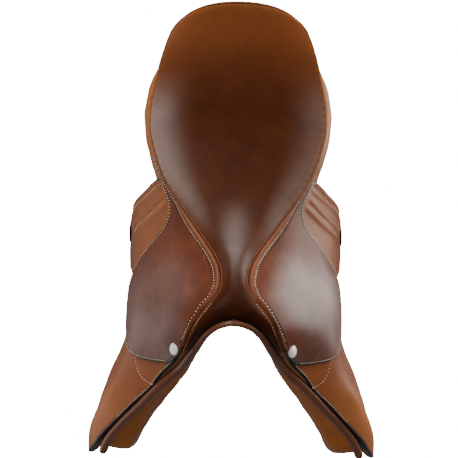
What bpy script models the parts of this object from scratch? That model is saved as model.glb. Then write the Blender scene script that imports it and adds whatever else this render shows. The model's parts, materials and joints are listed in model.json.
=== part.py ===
"""A close contact saddle: a laminated tree, a foam seat, leather skirts and flaps, and soft panels.

Sizes are millimetres here and become metres where a mesh is made. The saddle faces -Y, +Z is up
and +X is the rider's left. The origin lies under the lowest point of the seat, level with the
horse's back. Every side piece is made for the left and mirrored for the right.
"""

import math

import bpy
import numpy as np

MM = 0.001
LEFT, RIGHT = 1, -1
SIDES = {"left": LEFT, "right": RIGHT}

# Thicknesses of the pieces
SEAT_LEATHER = 1.8
SKIRT_LEATHER = 3.2
FLAP_LEATHER = 4.0
SWEAT_LEATHER = 3.0
KEEPER_LEATHER = 2.2
POCKET_LEATHER = 1.8
FACING_LEATHER = 2.4
BILLET_STRAP = 4.0
GUARD_LEATHER = 3.0
LOOP_LEATHER = 1.6
WEB_CLOTH = 2.0
TREE_WOOD = 10.0
RAIL_INNER, RAIL_OUTER = 0.40, 0.84
HEAD_WOOD = 8.0
PLATE_STEEL = 3.0
SPRING_STEEL = 1.6
WELT_RADIUS = 2.0
ROLL_RADIUS = 4.2
ROLL_FORWARD = 6.5
ROLL_CROWN = ((37, -211, 67), (27, -209.4, 86), (14, -207.9, 100.5), (0, -207.4, 106))
ROLL_CROWN_RADIUS = 3.0
ROLL_TAPER = (50, 100)

# Room between pieces: between hard ones, between curved sheets, and beside soft ones
FIT = 0.35
SHEET_FIT = 1.0
SOFT_FIT = 0.9
LIFT_GAP = 2.6
EDGE_ROOM = 3.2
BLOCK_ROOM = 18.0
BLOCK_REACH = 70.0
BILLET_AIR = 4.8
PANEL_FIT = 0.8

# Foam under the seat leather
FOAM_HEAD = 6.2
FOAM_SEAT = 16.0
FOAM_CANTLE = 9.0
FOAM_INSET = 7.5

# Lines of the seat from the arch to the cantle: ridge y, ridge z, welt x, welt y, welt z, crown
SEAT_LINES = (
    (-202, 108, 56, -219, 46, 2.6),
    (-200, 113.5, 48.2, -212, 76, 2.5),
    (-195, 118.5, 40.2, -202, 97, 2.4),
    (-187, 121, 29.2, -190, 108, 2.3),
    (-175, 120.5, 19, -178, 112, 2.2),
    (-158, 116, 13.6, -159, 107.5, 2.2),
    (-134, 110.5, 16.4, -134, 100, 2.2),
    (-108, 103.5, 26.3, -109, 92.5, 2.4),
    (-75, 97, 44.2, -76, 84, 2.6),
    (-38, 91, 65.9, -38, 78, 3.0),
    (0, 88, 88.7, 0, 76.5, 3.4),
    (35, 88.5, 102.5, 35, 80.5, 3.6),
    (70, 94, 112, 70, 87, 3.8),
    (105, 106, 113, 104, 96.5, 4.0),
    (140, 123, 106.5, 138, 114.5, 4.0),
    (172, 142, 97, 167, 136, 4.0),
    (198, 156.5, 88, 188.5, 148, 4.0),
    (214, 165, 80, 198, 153.5, 4.0),
    (222, 168, 73, 204, 156.5, 4.0),
)

# Half-widths of the outer form of one side, by station along Y and by level
SIDE_STATIONS = (-260, -240, -215, -188, -150, -100, -50, 0, 50, 100)
SIDE_LEVELS = (60, 20, -20, -60, -120, -200, -270)
SIDE_WIDTHS = (
    (44, 52, 68, 107, 168, 191, 186),
    (48, 58, 83, 126, 174, 191, 186),
    (57, 70, 106, 143, 173, 188, 183),
    (72, 96, 123, 147, 167, 182, 178),
    (80, 112, 131, 140, 156, 174, 173),
    (76, 113, 134, 139, 148, 162, 167),
    (78, 107, 131, 140, 148, 161, 165),
    (94, 117, 137, 145, 151, 163, 165),
    (108, 120, 134, 143, 152, 162, 163),
    (112, 116, 116, 121, 145, 150, 150),
)

# Front edge of the flap as (y, z), and how far behind it the inner layers start
FRONT_EDGE = ((-213, 30), (-221, -5), (-227, -20), (-237, -50), (-258, -120), (-267, -142))
ROLL_SETBACK = 1.0
SWEAT_SETBACK = 6.2
PANEL_SETBACK = 7.5

# Hinge lines of the skirts and flaps, left side
SKIRT_AXIS = ((84, -205, 46), (90, -15, 73))
SKIRT_SEAM = ((-213, 20), (-205, 33), (-185, 41), (-150, 50), (-100, 53.5), (-50, 58.5), (-22, 65))
FLAP_AXIS_X, FLAP_AXIS_Z = 145.0, -38.0
FLAP_SEAM = ((-238, -58), (-215, -52), (-190, -40.5), (-165, -39), (-50, -39), (60, -39), (103, -39))

# Nails, stirrup bars and billets
NAIL_Y, NAIL_Z = -209.0, 48.0
NAIL_HEAD_RADIUS = 6.5
NAIL_HEAD_RISE = 2.8
NAIL_SHANK_RADIUS = 1.5
NAIL_REACH = 5.0
BAR_FRONT, BAR_REAR = -152.0, -64.0
BAR_Z = 30.0
BAR_WIDTH = 14.0
BAR_ARM_DEPTH, BAR_ARM = 4.8, 5.0
BAR_SLOT = 8.0
BAR_BASE = 3.0
CATCH_Y = -59.0
CATCH_WIDTH = 7.0
PIN_RADIUS = 1.4
BILLET_WIDTH = 25.0
BILLET_TOP, BILLET_END = 40.0, -222.0
BILLET_Y = {"front": -45.0, "rear": -3.0}
GUARD_TOP, GUARD_LOW = -100.0, -176.0
GUARD_WIDTH = 44.0

# Keeper on the flap for the end of the stirrup leather
KEEPER_Y, KEEPER_Z = 52.0, -116.0
KEEPER_BAND, KEEPER_SPAN, KEEPER_RISE = 22.0, 46.0, 8.5


def hermite(knots, values, at):
    """Smooth curve through values at the knots; values may have one row for each place asked."""
    knots = np.asarray(knots, float)
    at = np.atleast_1d(np.asarray(at, float))
    values = np.broadcast_to(np.asarray(values, float), (len(at), len(knots)))
    step = np.diff(knots)
    chord = np.diff(values, axis=1) / step
    slope = np.empty_like(values)
    slope[:, 0] = chord[:, 0]
    slope[:, -1] = chord[:, -1]
    slope[:, 1:-1] = (step[1:] * chord[:, :-1] + step[:-1] * chord[:, 1:]) / (step[1:] + step[:-1])
    cell = np.clip(np.searchsorted(knots, at) - 1, 0, len(step) - 1)
    row = np.arange(len(at))
    size = step[cell]
    t = (at - knots[cell]) / size
    low, high = values[row, cell], values[row, cell + 1]
    leave, arrive = slope[row, cell] * size, slope[row, cell + 1] * size
    inside = (
        low * (2 * t**3 - 3 * t**2 + 1)
        + leave * (t**3 - 2 * t**2 + t)
        + high * (3 * t**2 - 2 * t**3)
        + arrive * (t**3 - t**2)
    )
    past_end = high + slope[row, cell + 1] * (at - knots[cell + 1])
    before = low + slope[row, cell] * (at - knots[cell])
    return np.where(t > 1, past_end, np.where(t < 0, before, inside))


def ease(t):
    t = np.clip(t, 0, 1)
    return t * t * (3 - 2 * t)


def path(points, count, straight=False):
    """Evenly spaced points of the smooth, or the straight-sided, line through hand-chosen points."""
    points = np.asarray(points, float)
    knots = np.r_[0, np.cumsum(np.linalg.norm(np.diff(points, axis=0), axis=1))]
    at = np.linspace(0, knots[-1], count)
    if straight or len(points) < 3:
        return np.stack([np.interp(at, knots, column) for column in points.T], axis=1)
    return np.stack([hermite(knots, column, at) for column in points.T], axis=1)


LINES = np.array(SEAT_LINES, float)
LINE_NUMBERS = np.arange(len(LINES))
LAST_LINE = float(LINE_NUMBERS[-1])
TREE_REAR_LINE = LAST_LINE - 2.3


def seat_line(v):
    """Ridge y, ridge z, welt x, welt y, welt z and crown at line v of the seat."""
    return [hermite(LINE_NUMBERS, column, v) for column in LINES.T]


def seat_surface(u, v):
    ridge_y, ridge_z, welt_x, welt_y, welt_z, crown = seat_line(v)
    z = ridge_z + (welt_z - ridge_z) * np.abs(u) ** crown
    return np.stack([u * welt_x, ridge_y + (welt_y - ridge_y) * u**2, z], axis=-1)


def seat_point(u, v, depth=0.0):
    """A point this deep under the seat leather's face; u runs from welt to welt as -1 to 1."""
    shape = np.broadcast(u, v, depth).shape
    u, v, depth = (np.broadcast_to(a, shape).ravel().astype(float) for a in (u, v, depth))
    step = 0.02
    place = seat_surface(u, v)
    inner_u = np.where(u > 0, u - step, u)
    across = seat_surface(inner_u + step, v) - seat_surface(inner_u, v)
    inner_v = np.where(v > 1, v - step, v)
    along = seat_surface(u, inner_v + step) - seat_surface(u, inner_v)
    normal = np.cross(across, along)
    normal /= np.linalg.norm(normal, axis=1)[:, None]
    return (place - normal * depth[:, None]).reshape(shape + (3,))


def rim_inset(v, room):
    """The u that lies this far inside the welt at line v."""
    ridge_y, ridge_z, welt_x, welt_y, welt_z, crown = seat_line(v)
    pace = np.sqrt(welt_x**2 + 4 * (welt_y - ridge_y) ** 2 + (crown * (ridge_z - welt_z)) ** 2)
    return 1 - room / pace


WELT_Y = LINES[:, 3]


def welt_at(y):
    return hermite(WELT_Y, LINES[:, 2], y), hermite(WELT_Y, LINES[:, 4], y)


def side_width(y, z):
    """Half-width of the outer form at (y, z), from the table up to its top level, then to the welt."""
    shape = np.broadcast(y, z).shape
    y, z = (np.broadcast_to(a, shape).ravel().astype(float) for a in (y, z))
    columns = [hermite(SIDE_STATIONS, column, y) for column in np.array(SIDE_WIDTHS, float).T]
    levels = np.array(SIDE_LEVELS[::-1], float)
    rows = np.stack(columns[::-1], axis=1)
    low = hermite(levels, rows, z)
    top = levels[-1]
    slope = hermite(levels, rows, np.full_like(z, top)) - hermite(levels, rows, np.full_like(z, top - 1))
    welt_x, welt_z = welt_at(y)
    rise = np.maximum(welt_z - top, 1e-6)
    bend_z = top + 0.85 * rise
    bend_x = np.maximum(columns[0] + slope * 0.85 * rise, welt_x + 0.3 * np.maximum(columns[0] - welt_x, 0))
    a, b, c = top - 2 * bend_z + welt_z, 2 * (bend_z - top), top - z
    part = np.sqrt(np.maximum(b * b - 4 * a * c, 0))
    t = np.clip((-b + part) / (2 * a), 0, 1.2)
    high = columns[0] * (1 - t) ** 2 + 2 * bend_x * t * (1 - t) + welt_x * t**2
    return np.where((z > top) & (rise > 4), high, low).reshape(shape)


def skin(y, z, depth=0.0):
    """A point this deep under the outer form of the left side."""
    shape = np.broadcast(y, z, depth).shape
    y, z, depth = (np.broadcast_to(a, shape).astype(float) for a in (y, z, depth))
    reach = 2.0
    x = side_width(y, z)
    by_y = (side_width(y + reach, z) - side_width(y - reach, z)) / (2 * reach)
    by_z = (x - side_width(y, z - reach)) / reach
    normal = np.stack([np.ones_like(x), -by_y, -by_z], axis=-1)
    normal /= np.linalg.norm(normal, axis=-1, keepdims=True)
    return np.stack([x, y, z], axis=-1) - normal * depth[..., None]


def front_edge_y(z):
    edge = np.array(FRONT_EDGE[::-1], float)
    return hermite(edge[:, 1], edge[:, 0], np.ravel(z)).reshape(np.shape(z))


FLAP_FACE = SKIRT_LEATHER + SHEET_FIT
FLAP_BACK = FLAP_FACE + FLAP_LEATHER
BAR_BASE_DEPTH = BAR_ARM_DEPTH + BAR_ARM + BAR_SLOT
TREE_AT_BAR = BAR_BASE_DEPTH + BAR_BASE + SOFT_FIT


def sweat_face(y, z):
    """Depth of the sweat flap's face: close to the flap at the front edge, deeper where blocks lie."""
    behind = np.asarray(y, float) - front_edge_y(np.asarray(z, float))
    return FLAP_BACK + EDGE_ROOM + (BLOCK_ROOM - EDGE_ROOM) * ease(behind / BLOCK_REACH)


def head_depth(y):
    """Depth of the tree's head below the outer form on the sides: deeper behind, for the bars."""
    ahead = FLAP_BACK + 3.4
    return ahead + (TREE_AT_BAR - ahead) * ease((np.asarray(y, float) + 198) / 34)


def panel_face(y, z):
    """Depth of the panel's face, under the sweat flap and, higher up, under the tree and pockets."""
    under_flap = sweat_face(y, z) + SWEAT_LEATHER + PANEL_FIT
    ahead = ease((-150 - np.asarray(y, float)) / 12)
    under_tree = head_depth(y) + HEAD_WOOD + ahead * (PLATE_STEEL + SOFT_FIT) + SOFT_FIT + PANEL_FIT
    under_tree = under_tree + POCKET_LEATHER + 3 * SHEET_FIT
    return under_flap + (np.maximum(under_tree, under_flap) - under_flap) * ease((np.asarray(z) + 8) / 14)


def coons(top, bottom, front, rear, across, down, lean=1.0):
    """(y, z) grid between four border lines, or two when front and rear are left out."""
    t = np.linspace(0, 1, across)
    s = np.linspace(0, 1, down) ** lean
    high, low = path(top, across), path(bottom, across)
    if front is None:
        return high[None] * (1 - s)[:, None, None] + low[None] * s[:, None, None]
    ahead, behind = path(front, down), path(rear, down)
    s, t = s[:, None, None], t[None, :, None]
    ruled = high[None] * (1 - s) + low[None] * s
    other = ahead[:, None] * (1 - t) + behind[:, None] * t
    corners = (
        high[0] * (1 - s) * (1 - t) + high[-1] * (1 - s) * t + low[0] * s * (1 - t) + low[-1] * s * t
    )
    return ruled + other - corners


def material(name, colour, roughness, metallic=0.0):
    made = bpy.data.materials.new(name)
    made.use_nodes = True
    shader = made.node_tree.nodes["Principled BSDF"]
    shader.inputs["Base Color"].default_value = (*colour, 1)
    shader.inputs["Roughness"].default_value = roughness
    shader.inputs["Metallic"].default_value = metallic
    return made


FINISHES = {
    "seat_leather": ((0.16, 0.055, 0.02), 0.38, 0.0),
    "skirt_leather": ((0.11, 0.045, 0.028), 0.35, 0.0),
    "flap_leather": ((0.19, 0.075, 0.03), 0.42, 0.0),
    "panel_leather": ((0.17, 0.06, 0.025), 0.5, 0.0),
    "strap_leather": ((0.10, 0.04, 0.02), 0.5, 0.0),
    "foam": ((0.62, 0.56, 0.42), 0.9, 0.0),
    "web": ((0.55, 0.5, 0.4), 0.85, 0.0),
    "wood": ((0.42, 0.27, 0.13), 0.6, 0.0),
    "steel": ((0.5, 0.5, 0.5), 0.35, 1.0),
    "pewter": ((0.62, 0.6, 0.55), 0.3, 1.0),
}


def mesh_object(name, points, faces, finish, side=LEFT, pivot=(0, 0, 0)):
    """One object in metres with its faces outwards and its origin at the pivot, mirrored for the right."""
    turn = np.array([side, 1, 1], float)
    points = np.asarray(points, float) * turn
    pivot = np.asarray(pivot, float) * turn
    if signed_volume(points, faces) < 0:
        faces = [tuple(reversed(face)) for face in faces]
    mesh = bpy.data.meshes.new(name)
    mesh.from_pydata(((points - pivot) * MM).tolist(), [], [tuple(map(int, face)) for face in faces])
    mesh.validate()
    mesh.shade_smooth()
    mesh.set_sharp_from_angle(angle=math.radians(40))
    mesh.materials.append(material(name, *FINISHES[finish]))
    made = bpy.data.objects.new(name, mesh)
    made.location = pivot * MM
    bpy.context.scene.collection.objects.link(made)
    return made


def signed_volume(points, faces):
    total = 0.0
    for face in faces:
        corner = points[face[0]]
        for second, third in zip(face[1:-1], face[2:]):
            total += np.dot(corner, np.cross(points[second], points[third]))
    return total


def slab(near, far):
    """Points and faces of the closed sheet between two grids; both sides share their diagonals."""
    down, across = near.shape[:2]
    points = np.concatenate([near.reshape(-1, 3), far.reshape(-1, 3)])
    back = down * across
    faces = []
    for i in range(down - 1):
        for j in range(across - 1):
            a, b, c, d = i * across + j, i * across + j + 1, (i + 1) * across + j + 1, (i + 1) * across + j
            faces += [(a, b, c), (a, c, d), (back + c, back + b, back + a), (back + d, back + c, back + a)]
    low = (down - 1) * across
    for j in range(across - 1):
        faces += [(j + 1, j, back + j, back + j + 1), (low + j, low + j + 1, back + low + j + 1, back + low + j)]
    for i in range(down - 1):
        a, b = i * across, (i + 1) * across
        c, d = a + across - 1, b + across - 1
        faces += [(a, b, back + b, back + a), (d, c, back + c, back + d)]
    return points, faces


def side_sheet(name, finish, grid, near, far, side, pivot=(0, 0, 0)):
    """A leather sheet of one side, between two depths under the outer form."""
    y, z = grid[..., 0], grid[..., 1]
    points, faces = slab(skin(y, z, near), skin(y, z, far))
    return mesh_object(name, points, faces, finish, side, pivot)


def tube(points, radius, sides):
    """Points and faces of a closed round tube along a line; radius may change along it."""
    points = np.asarray(points, float)
    radius = np.broadcast_to(radius, len(points))
    ahead = np.gradient(points, axis=0)
    ahead /= np.linalg.norm(ahead, axis=1)[:, None]
    normal = np.cross(ahead[0], (0.3, 0.5, 0.8))
    rings = []
    for place, way, size in zip(points, ahead, radius):
        normal = normal - way * np.dot(normal, way)
        normal /= np.linalg.norm(normal)
        other = np.cross(way, normal)
        turn = np.linspace(0, 2 * math.pi, sides, endpoint=False)[:, None]
        rings.append(place + size * (np.cos(turn) * normal + np.sin(turn) * other))
    return loft(np.array(rings))


def loft(rings):
    """Points and faces of the closed body through rings of equal count."""
    count, sides = rings.shape[:2]
    faces = []
    for i in range(count - 1):
        for j in range(sides):
            k = (j + 1) % sides
            faces.append((i * sides + j, i * sides + k, (i + 1) * sides + k, (i + 1) * sides + j))
    points = np.concatenate([rings.reshape(-1, 3), rings[0].mean(axis=0)[None], rings[-1].mean(axis=0)[None]])
    first, last = count * sides, count * sides + 1
    for j in range(sides):
        k = (j + 1) % sides
        faces += [(k, j, first), ((count - 1) * sides + j, (count - 1) * sides + k, last)]
    return points, faces


def prism(outline, z_low, z_high, levels=2):
    """Points and faces of a bar whose (y, depth) outline follows the side between two heights."""
    outline = np.asarray(outline, float)
    heights = np.linspace(z_low, z_high, levels)
    rings = np.stack([skin(outline[:, 0], np.full(len(outline), z), outline[:, 1]) for z in heights])
    count, sides = rings.shape[:2]
    faces = [tuple(range(sides)), tuple(reversed(range((count - 1) * sides, count * sides)))]
    for i in range(count - 1):
        for j in range(sides):
            k = (j + 1) % sides
            faces.append((i * sides + k, i * sides + j, (i + 1) * sides + j, (i + 1) * sides + k))
    return rings.reshape(-1, 3), faces


def helper(name, points, faces, side=LEFT, pivot=(0, 0, 0)):
    made = mesh_object(name, points, faces, "steel", side, pivot)
    made.hide_render = True
    made.display_type = "WIRE"
    return made


def boolean(obj, other, operation):
    step = obj.modifiers.new(other.name, "BOOLEAN")
    step.operation = operation
    step.solver = "EXACT"
    step.object = other


def frame_at(y, z, depth=0.0):
    """Place, rearward, downward and outward directions on the left side."""
    place = skin(y, z, depth)
    rear = skin(y + 3, z, depth) - skin(y - 3, z, depth)
    rear /= np.linalg.norm(rear)
    low = skin(y, z - 3, depth) - skin(y, z + 1, depth)
    out = np.cross(low, rear)
    out /= np.linalg.norm(out)
    if out[0] < 0:
        out = -out
    return place, rear, np.cross(rear, out) * np.sign(np.dot(np.cross(rear, out), low)), out


def seat_stack(v):
    """Depths under the seat leather at line v: top of the foam, of the web and of the tree."""
    v = np.asarray(v, float)
    foam = hermite((0, 7, 9, 15, LAST_LINE), (FOAM_HEAD, FOAM_HEAD, FOAM_SEAT, FOAM_SEAT, FOAM_CANTLE), v)
    top = SEAT_LEATHER + SOFT_FIT
    return top + 0 * v, top + foam + SOFT_FIT, top + foam + WEB_CLOTH + 3 * SOFT_FIT


def seat_sheet(name, finish, u, v, near, far):
    points, faces = slab(seat_point(u, v, near), seat_point(u, v, far))
    return mesh_object(name, points, faces, finish)


SEAT_ROWS = np.concatenate([np.linspace(0, 4, 9), np.linspace(4.8, LAST_LINE - 0.4, 17)])
SEAT_ACROSS = np.sin(np.linspace(-1, 1, 13) * math.pi / 2)


def make_seat():
    u, v = np.meshgrid(SEAT_ACROSS, SEAT_ROWS)
    edge = rim_inset(v.ravel(), WELT_RADIUS + SOFT_FIT + FIT).reshape(v.shape)
    seat_sheet("seat_cover", "seat_leather", u * edge, v, 0.0, SEAT_LEATHER)

    u, v = np.meshgrid(SEAT_ACROSS, np.concatenate([[2.6, 3.3], SEAT_ROWS[8:-1]]))
    edge = rim_inset(v.ravel(), FOAM_INSET).reshape(v.shape)
    foam_top, web_top, _ = (np.reshape(a, v.shape) for a in seat_stack(v.ravel()))
    seat_sheet("seat_foam", "foam", u * edge, v, foam_top, web_top - SOFT_FIT)

    rows = np.linspace(8.4, TREE_REAR_LINE, 11)
    u, v = np.meshgrid(np.linspace(-0.8, 0.8, 9), rows)
    _, web_top, tree_top = (np.reshape(a, v.shape) for a in seat_stack(v.ravel()))
    seat_sheet("seat_web", "web", u, v, web_top, tree_top - 2 * SOFT_FIT)


def tree_loop(u_side, line_rear, line_front, count):
    """(u, v) line along the left rail, round the cantle and back along the right rail."""
    left = [(-u_side, line_front), (-u_side, 11), (-u_side, 14), (-u_side, line_rear - 1.2)]
    corner = [(-u_side * 0.8, line_rear - 0.25), (0, line_rear)]
    half = left + corner
    whole = half + [(-u, v) for u, v in reversed(half[:-1])]
    return path(whole, count)


def make_tree():
    count = 37
    outer = tree_loop(RAIL_OUTER, TREE_REAR_LINE, 7.6, count)
    inner = tree_loop(RAIL_INNER, TREE_REAR_LINE - 1.9, 7.6, count)
    share = np.linspace(0, 1, 4)[:, None, None]
    grid = outer[None] * (1 - share) + inner[None] * share
    u, v = grid[..., 0], grid[..., 1]
    _, _, top = (np.reshape(a, v.shape) for a in seat_stack(v.ravel()))
    seat_sheet("tree_frame", "wood", u, v, top, top + TREE_WOOD)

    for label, side in SIDES.items():
        rows = np.linspace(8.4, 14.6, 9)
        u, v = np.meshgrid((0.52, 0.68), rows)
        _, _, top = (np.reshape(a, v.shape) for a in seat_stack(v.ravel()))
        deep = top + TREE_WOOD + SOFT_FIT
        points, faces = slab(seat_point(u, v, deep), seat_point(u, v, deep + SPRING_STEEL))
        mesh_object("tree_spring_" + label, points, faces, "steel", side)


def arch_section(y, count=60):
    """Smooth (x, z) line of the outer form from the ridge down the left side at one station."""
    ridge_z = hermite(LINES[:, 0], LINES[:, 1], y)[0]
    welt_x, welt_z = (a[0] for a in welt_at(y))
    x = np.linspace(0, welt_x, 12)
    top = np.stack([x, ridge_z - (ridge_z - welt_z) * (x / welt_x) ** 2.2], axis=1)
    z = np.linspace(welt_z - 3, -15, 24)
    side = np.stack([side_width(np.full(24, y), z), z], axis=1)
    line = np.concatenate([top, side])
    return path(path(line, 9), count)


def arch_point(y, low_z, t, depth_top, depth_side):
    """Point t, from -1 at the right foot to 1 at the left foot, of a shell under the saddle's arch."""
    line = arch_section(y)
    run = np.r_[0, np.cumsum(np.linalg.norm(np.diff(line, axis=0), axis=1))]
    foot = np.interp(-low_z, -line[:, 1], run)
    s = abs(t) * foot
    x, z = np.interp(s, run, line[:, 0]), np.interp(s, run, line[:, 1])
    reach = 4.0
    a = np.array([np.interp(s + reach, run, line[:, 0]), np.interp(s + reach, run, line[:, 1])])
    if s > reach:
        b = np.array([np.interp(s - reach, run, line[:, 0]), np.interp(s - reach, run, line[:, 1])])
    else:
        b = np.array([-np.interp(reach - s, run, line[:, 0]), np.interp(reach - s, run, line[:, 1])])
    way = (a - b) / np.linalg.norm(a - b)
    depth = depth_top + (depth_side - depth_top) * ease((s - 18) / 40)
    place = np.array([x - depth * -way[1], z - depth * way[0]])
    return np.array([math.copysign(1, t) * place[0] if t else 0.0, y, place[1]])


def arch_shell(front, rear, low_z, top, side_depth, thickness, across, along=1):
    """Points and faces of a shell under the arch; its front and rear edges are y at the top and at the feet."""
    near, far = [], []
    for t in np.linspace(-1, 1, across):
        lean = ease((abs(t) - 0.35) / 0.55)
        y_front = front[0] + (front[1] - front[0]) * lean
        y_rear = rear[0] + (rear[1] - rear[0]) * lean
        ys = [y_front, -186, -176] + list(np.linspace(-176, y_rear, along)[1:])
        near.append([arch_point(y, low_z, t, top, side_depth(y)) for y in ys])
        far.append([arch_point(y, low_z, t, top + thickness, side_depth(y) + thickness) for y in ys])
    return slab(np.array(near), np.array(far))


HEAD_TOP = SEAT_LEATHER + FOAM_HEAD + 2 * SOFT_FIT
HEAD_FOOT_Z = 12.0


HEAD_EDGES = ((-196, -197), (-112, -66))
PLATE_EDGES = ((-195, -196), (-176, -176))


def plate_depth(y):
    return head_depth(y) + HEAD_WOOD + SOFT_FIT + FIT


def make_head():
    points, faces = arch_shell(*HEAD_EDGES, HEAD_FOOT_Z, HEAD_TOP, head_depth, HEAD_WOOD, 21, 4)
    mesh_object("tree_head", points, faces, "wood")
    plate_top = HEAD_TOP + HEAD_WOOD + SOFT_FIT + FIT
    points, faces = arch_shell(*PLATE_EDGES, 26.0, plate_top, plate_depth, PLATE_STEEL, 21)
    mesh_object("head_plate", points, faces, "steel")


def rim_path():
    """Points along the seat's edge from the left foot round the cantle to the right foot."""
    left = seat_surface(np.ones_like(SEAT_ROWS), SEAT_ROWS)
    bend = SEAT_ACROSS[-2:0:-1]
    back = seat_surface(bend, np.full_like(bend, LAST_LINE))
    right = left[::-1] * np.array([-1, 1, 1])
    return np.concatenate([left, back, right])


def make_welt():
    points, faces = tube(rim_path(), WELT_RADIUS, 5)
    mesh_object("seat_welt", points, faces, "seat_leather")
    room = helper("welt_room", *tube(rim_path(), WELT_RADIUS + 2 * FIT, 5))
    for name in ("seat_cover", "cantle_facing"):
        boolean(bpy.data.objects[name], room, "DIFFERENCE")


def cantle_band(outer, inner, more=0.0):
    """Points and faces of a band under the seat's edge round the back, deepest at the centre."""
    lines = np.linspace(13.2, LAST_LINE - 0.6, 9)
    left = seat_surface(np.ones_like(lines), lines)
    bend = np.linspace(0.93, -0.93, 13)
    back = seat_surface(bend, np.full_like(bend, LAST_LINE))
    rim = path(np.concatenate([left, back, left[::-1] * np.array([-1, 1, 1])]), 31)
    way = np.gradient(rim, axis=0)
    out = np.stack([way[:, 1], -way[:, 0], np.zeros(len(rim))], axis=1)
    out /= np.linalg.norm(out, axis=1)[:, None]
    out *= np.sign(np.sum(out * (rim - np.array([0, 120, 0])), axis=1))[:, None]
    t = np.linspace(-1, 1, len(rim))
    height = 12 + more + 32 * (1 - np.abs(t) ** 2.2)
    near, far = [], []
    for share in (0, 0.35, 0.7, 1):
        drop = (WELT_RADIUS + FIT + share * height)[:, None] * np.array([0, 0, 1])
        bulge = 1.5 * math.sin(math.pi * share) - 2.0 * share
        near.append(rim - drop + out * (bulge + outer))
        far.append(rim - drop + out * (bulge + inner))
    return slab(np.array(near), np.array(far))


def make_cantle():
    mesh_object("cantle_facing", *cantle_band(FACING_LEATHER, 0.0), "seat_leather")


def welt_border(lines):
    """(y, z) line just under the welt, for the top of the skirts."""
    edge = seat_surface(np.ones_like(lines), lines)
    way = np.gradient(edge[:, 1:], axis=0)
    way /= np.linalg.norm(way, axis=1)[:, None]
    found = []
    steps = np.arange(0.2, 5.0, 0.1)
    for place, (along_y, along_z) in zip(edge, way):
        y, z = place[1] + steps * along_z, place[2] - steps * along_y
        off = np.stack([side_width(y, z), y, z], axis=1) - place
        far = np.linalg.norm(off, axis=1) > WELT_RADIUS + SHEET_FIT + FIT
        pick = int(np.argmax(far)) if far.any() else len(steps) - 1
        found.append((y[pick], z[pick]))
    return np.array(found)


SKIRT_LAST_ROW = 20
SKIRT_REAR = ((-22, 65), (5, 64.5), (40, 64), (75, 67), (99, 74))


def make_skirts():
    upper_seam = [(y, z + LIFT_GAP / 2) for y, z in SKIRT_SEAM]
    lower_seam = [(y, z - LIFT_GAP / 2) for y, z in SKIRT_SEAM]
    welt = welt_border(np.r_[0.5, SEAT_ROWS[2:SKIRT_LAST_ROW]])
    seam = path(upper_seam[:-1] + list(SKIRT_REAR), len(welt))
    share = np.linspace(0, 1, 5)[:, None, None] ** 1.4
    roll = welt[None] * (1 - share) + seam[None] * share
    lower = (
        (-214, 16), (-205, 0), (-188, -20), (-165, -28), (-131, -31), (-98, -25),
        (-75, -10), (-63, 10), (-55.5, 30), (-50, 45), (-39, 57), (-26, 63.2),
    )
    moving = coons(lower_seam[:-1] + [(-27, 63.2)], lower, None, None, 16, 8)
    for label, side in SIDES.items():
        piece = side_sheet("skirt_roll_" + label, "skirt_leather", roll, 0.0, SKIRT_LEATHER, side)
        boolean(piece, nail_hole("roll_nail_hole_" + label, side), "DIFFERENCE")
        side_sheet("skirt_" + label, "skirt_leather", moving, 0.0, SKIRT_LEATHER, side, SKIRT_AXIS[0])


def nail_hole(name, side):
    place, rear, low, out = frame_at(NAIL_Y, NAIL_Z)
    points, faces = tube([place + out * 6, place - out * 30], NAIL_SHANK_RADIUS + FIT, 10)
    return helper(name, points, faces, side)


FLAP_TOP_EDGE = (
    (-212.5, 30), (-190, 42), (-150, 50), (-100, 54), (-50, 56), (-12, 57), (18, 56), (40, 44), (60, 16), (79, -12),
    (97, -33),
)
FLAP_BOTTOM = ((-267, -142), (-266, -185), (-241, -229), (-195, -258), (-130, -272), (-70, -268), (-22, -245))
FLAP_REAR = ((103, -42), (98, -60), (82, -105), (62, -150), (28, -200), (-22, -245))


def flap_grids():
    """(y, z) grids of the fixed top of the flap and of the flap that hangs from it."""
    top_low = [(y, z + LIFT_GAP / 2) for y, z in FLAP_SEAM]
    front_top = [place for place in FRONT_EDGE if place[1] > -58] + [top_low[0]]
    fixed = coons(FLAP_TOP_EDGE, top_low, front_top, (FLAP_TOP_EDGE[-1], top_low[-1]), 20, 7)
    moving_top = [(y, z - LIFT_GAP / 2) for y, z in FLAP_SEAM]
    front = [moving_top[0], (-247, -86), (-258, -120), (-267, -142)]
    moving = coons(moving_top, FLAP_BOTTOM, front, [moving_top[-1]] + list(FLAP_REAR[1:]), 16, 11)
    return fixed, moving


def make_flaps():
    fixed, moving = flap_grids()
    window = [(-158, FLAP_FACE - 2), (-51, FLAP_FACE - 2), (-51, FLAP_BACK + 3), (-158, FLAP_BACK + 3)]
    for label, side in SIDES.items():
        piece = side_sheet("flap_top_" + label, "flap_leather", fixed, FLAP_FACE, FLAP_BACK, side)
        points, faces = prism(dense(window, 12), BAR_Z - 12, BAR_Z + 36, 5)
        boolean(piece, helper("bar_window_" + label, points, faces, side), "DIFFERENCE")
        pivot = (FLAP_AXIS_X, -80, FLAP_AXIS_Z)
        side_sheet("flap_" + label, "flap_leather", moving, FLAP_FACE, FLAP_BACK, side, pivot)
        make_keeper(label, side, pivot)


def dense(outline, step):
    """The outline with a point at least every step along its sides."""
    found = []
    for a, b in zip(outline, list(outline[1:]) + [outline[0]]):
        a, b = np.array(a, float), np.array(b, float)
        pieces = max(1, math.ceil(np.linalg.norm(b - a) / step))
        found += [tuple(a + (b - a) * k / pieces) for k in range(pieces)]
    return found


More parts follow.
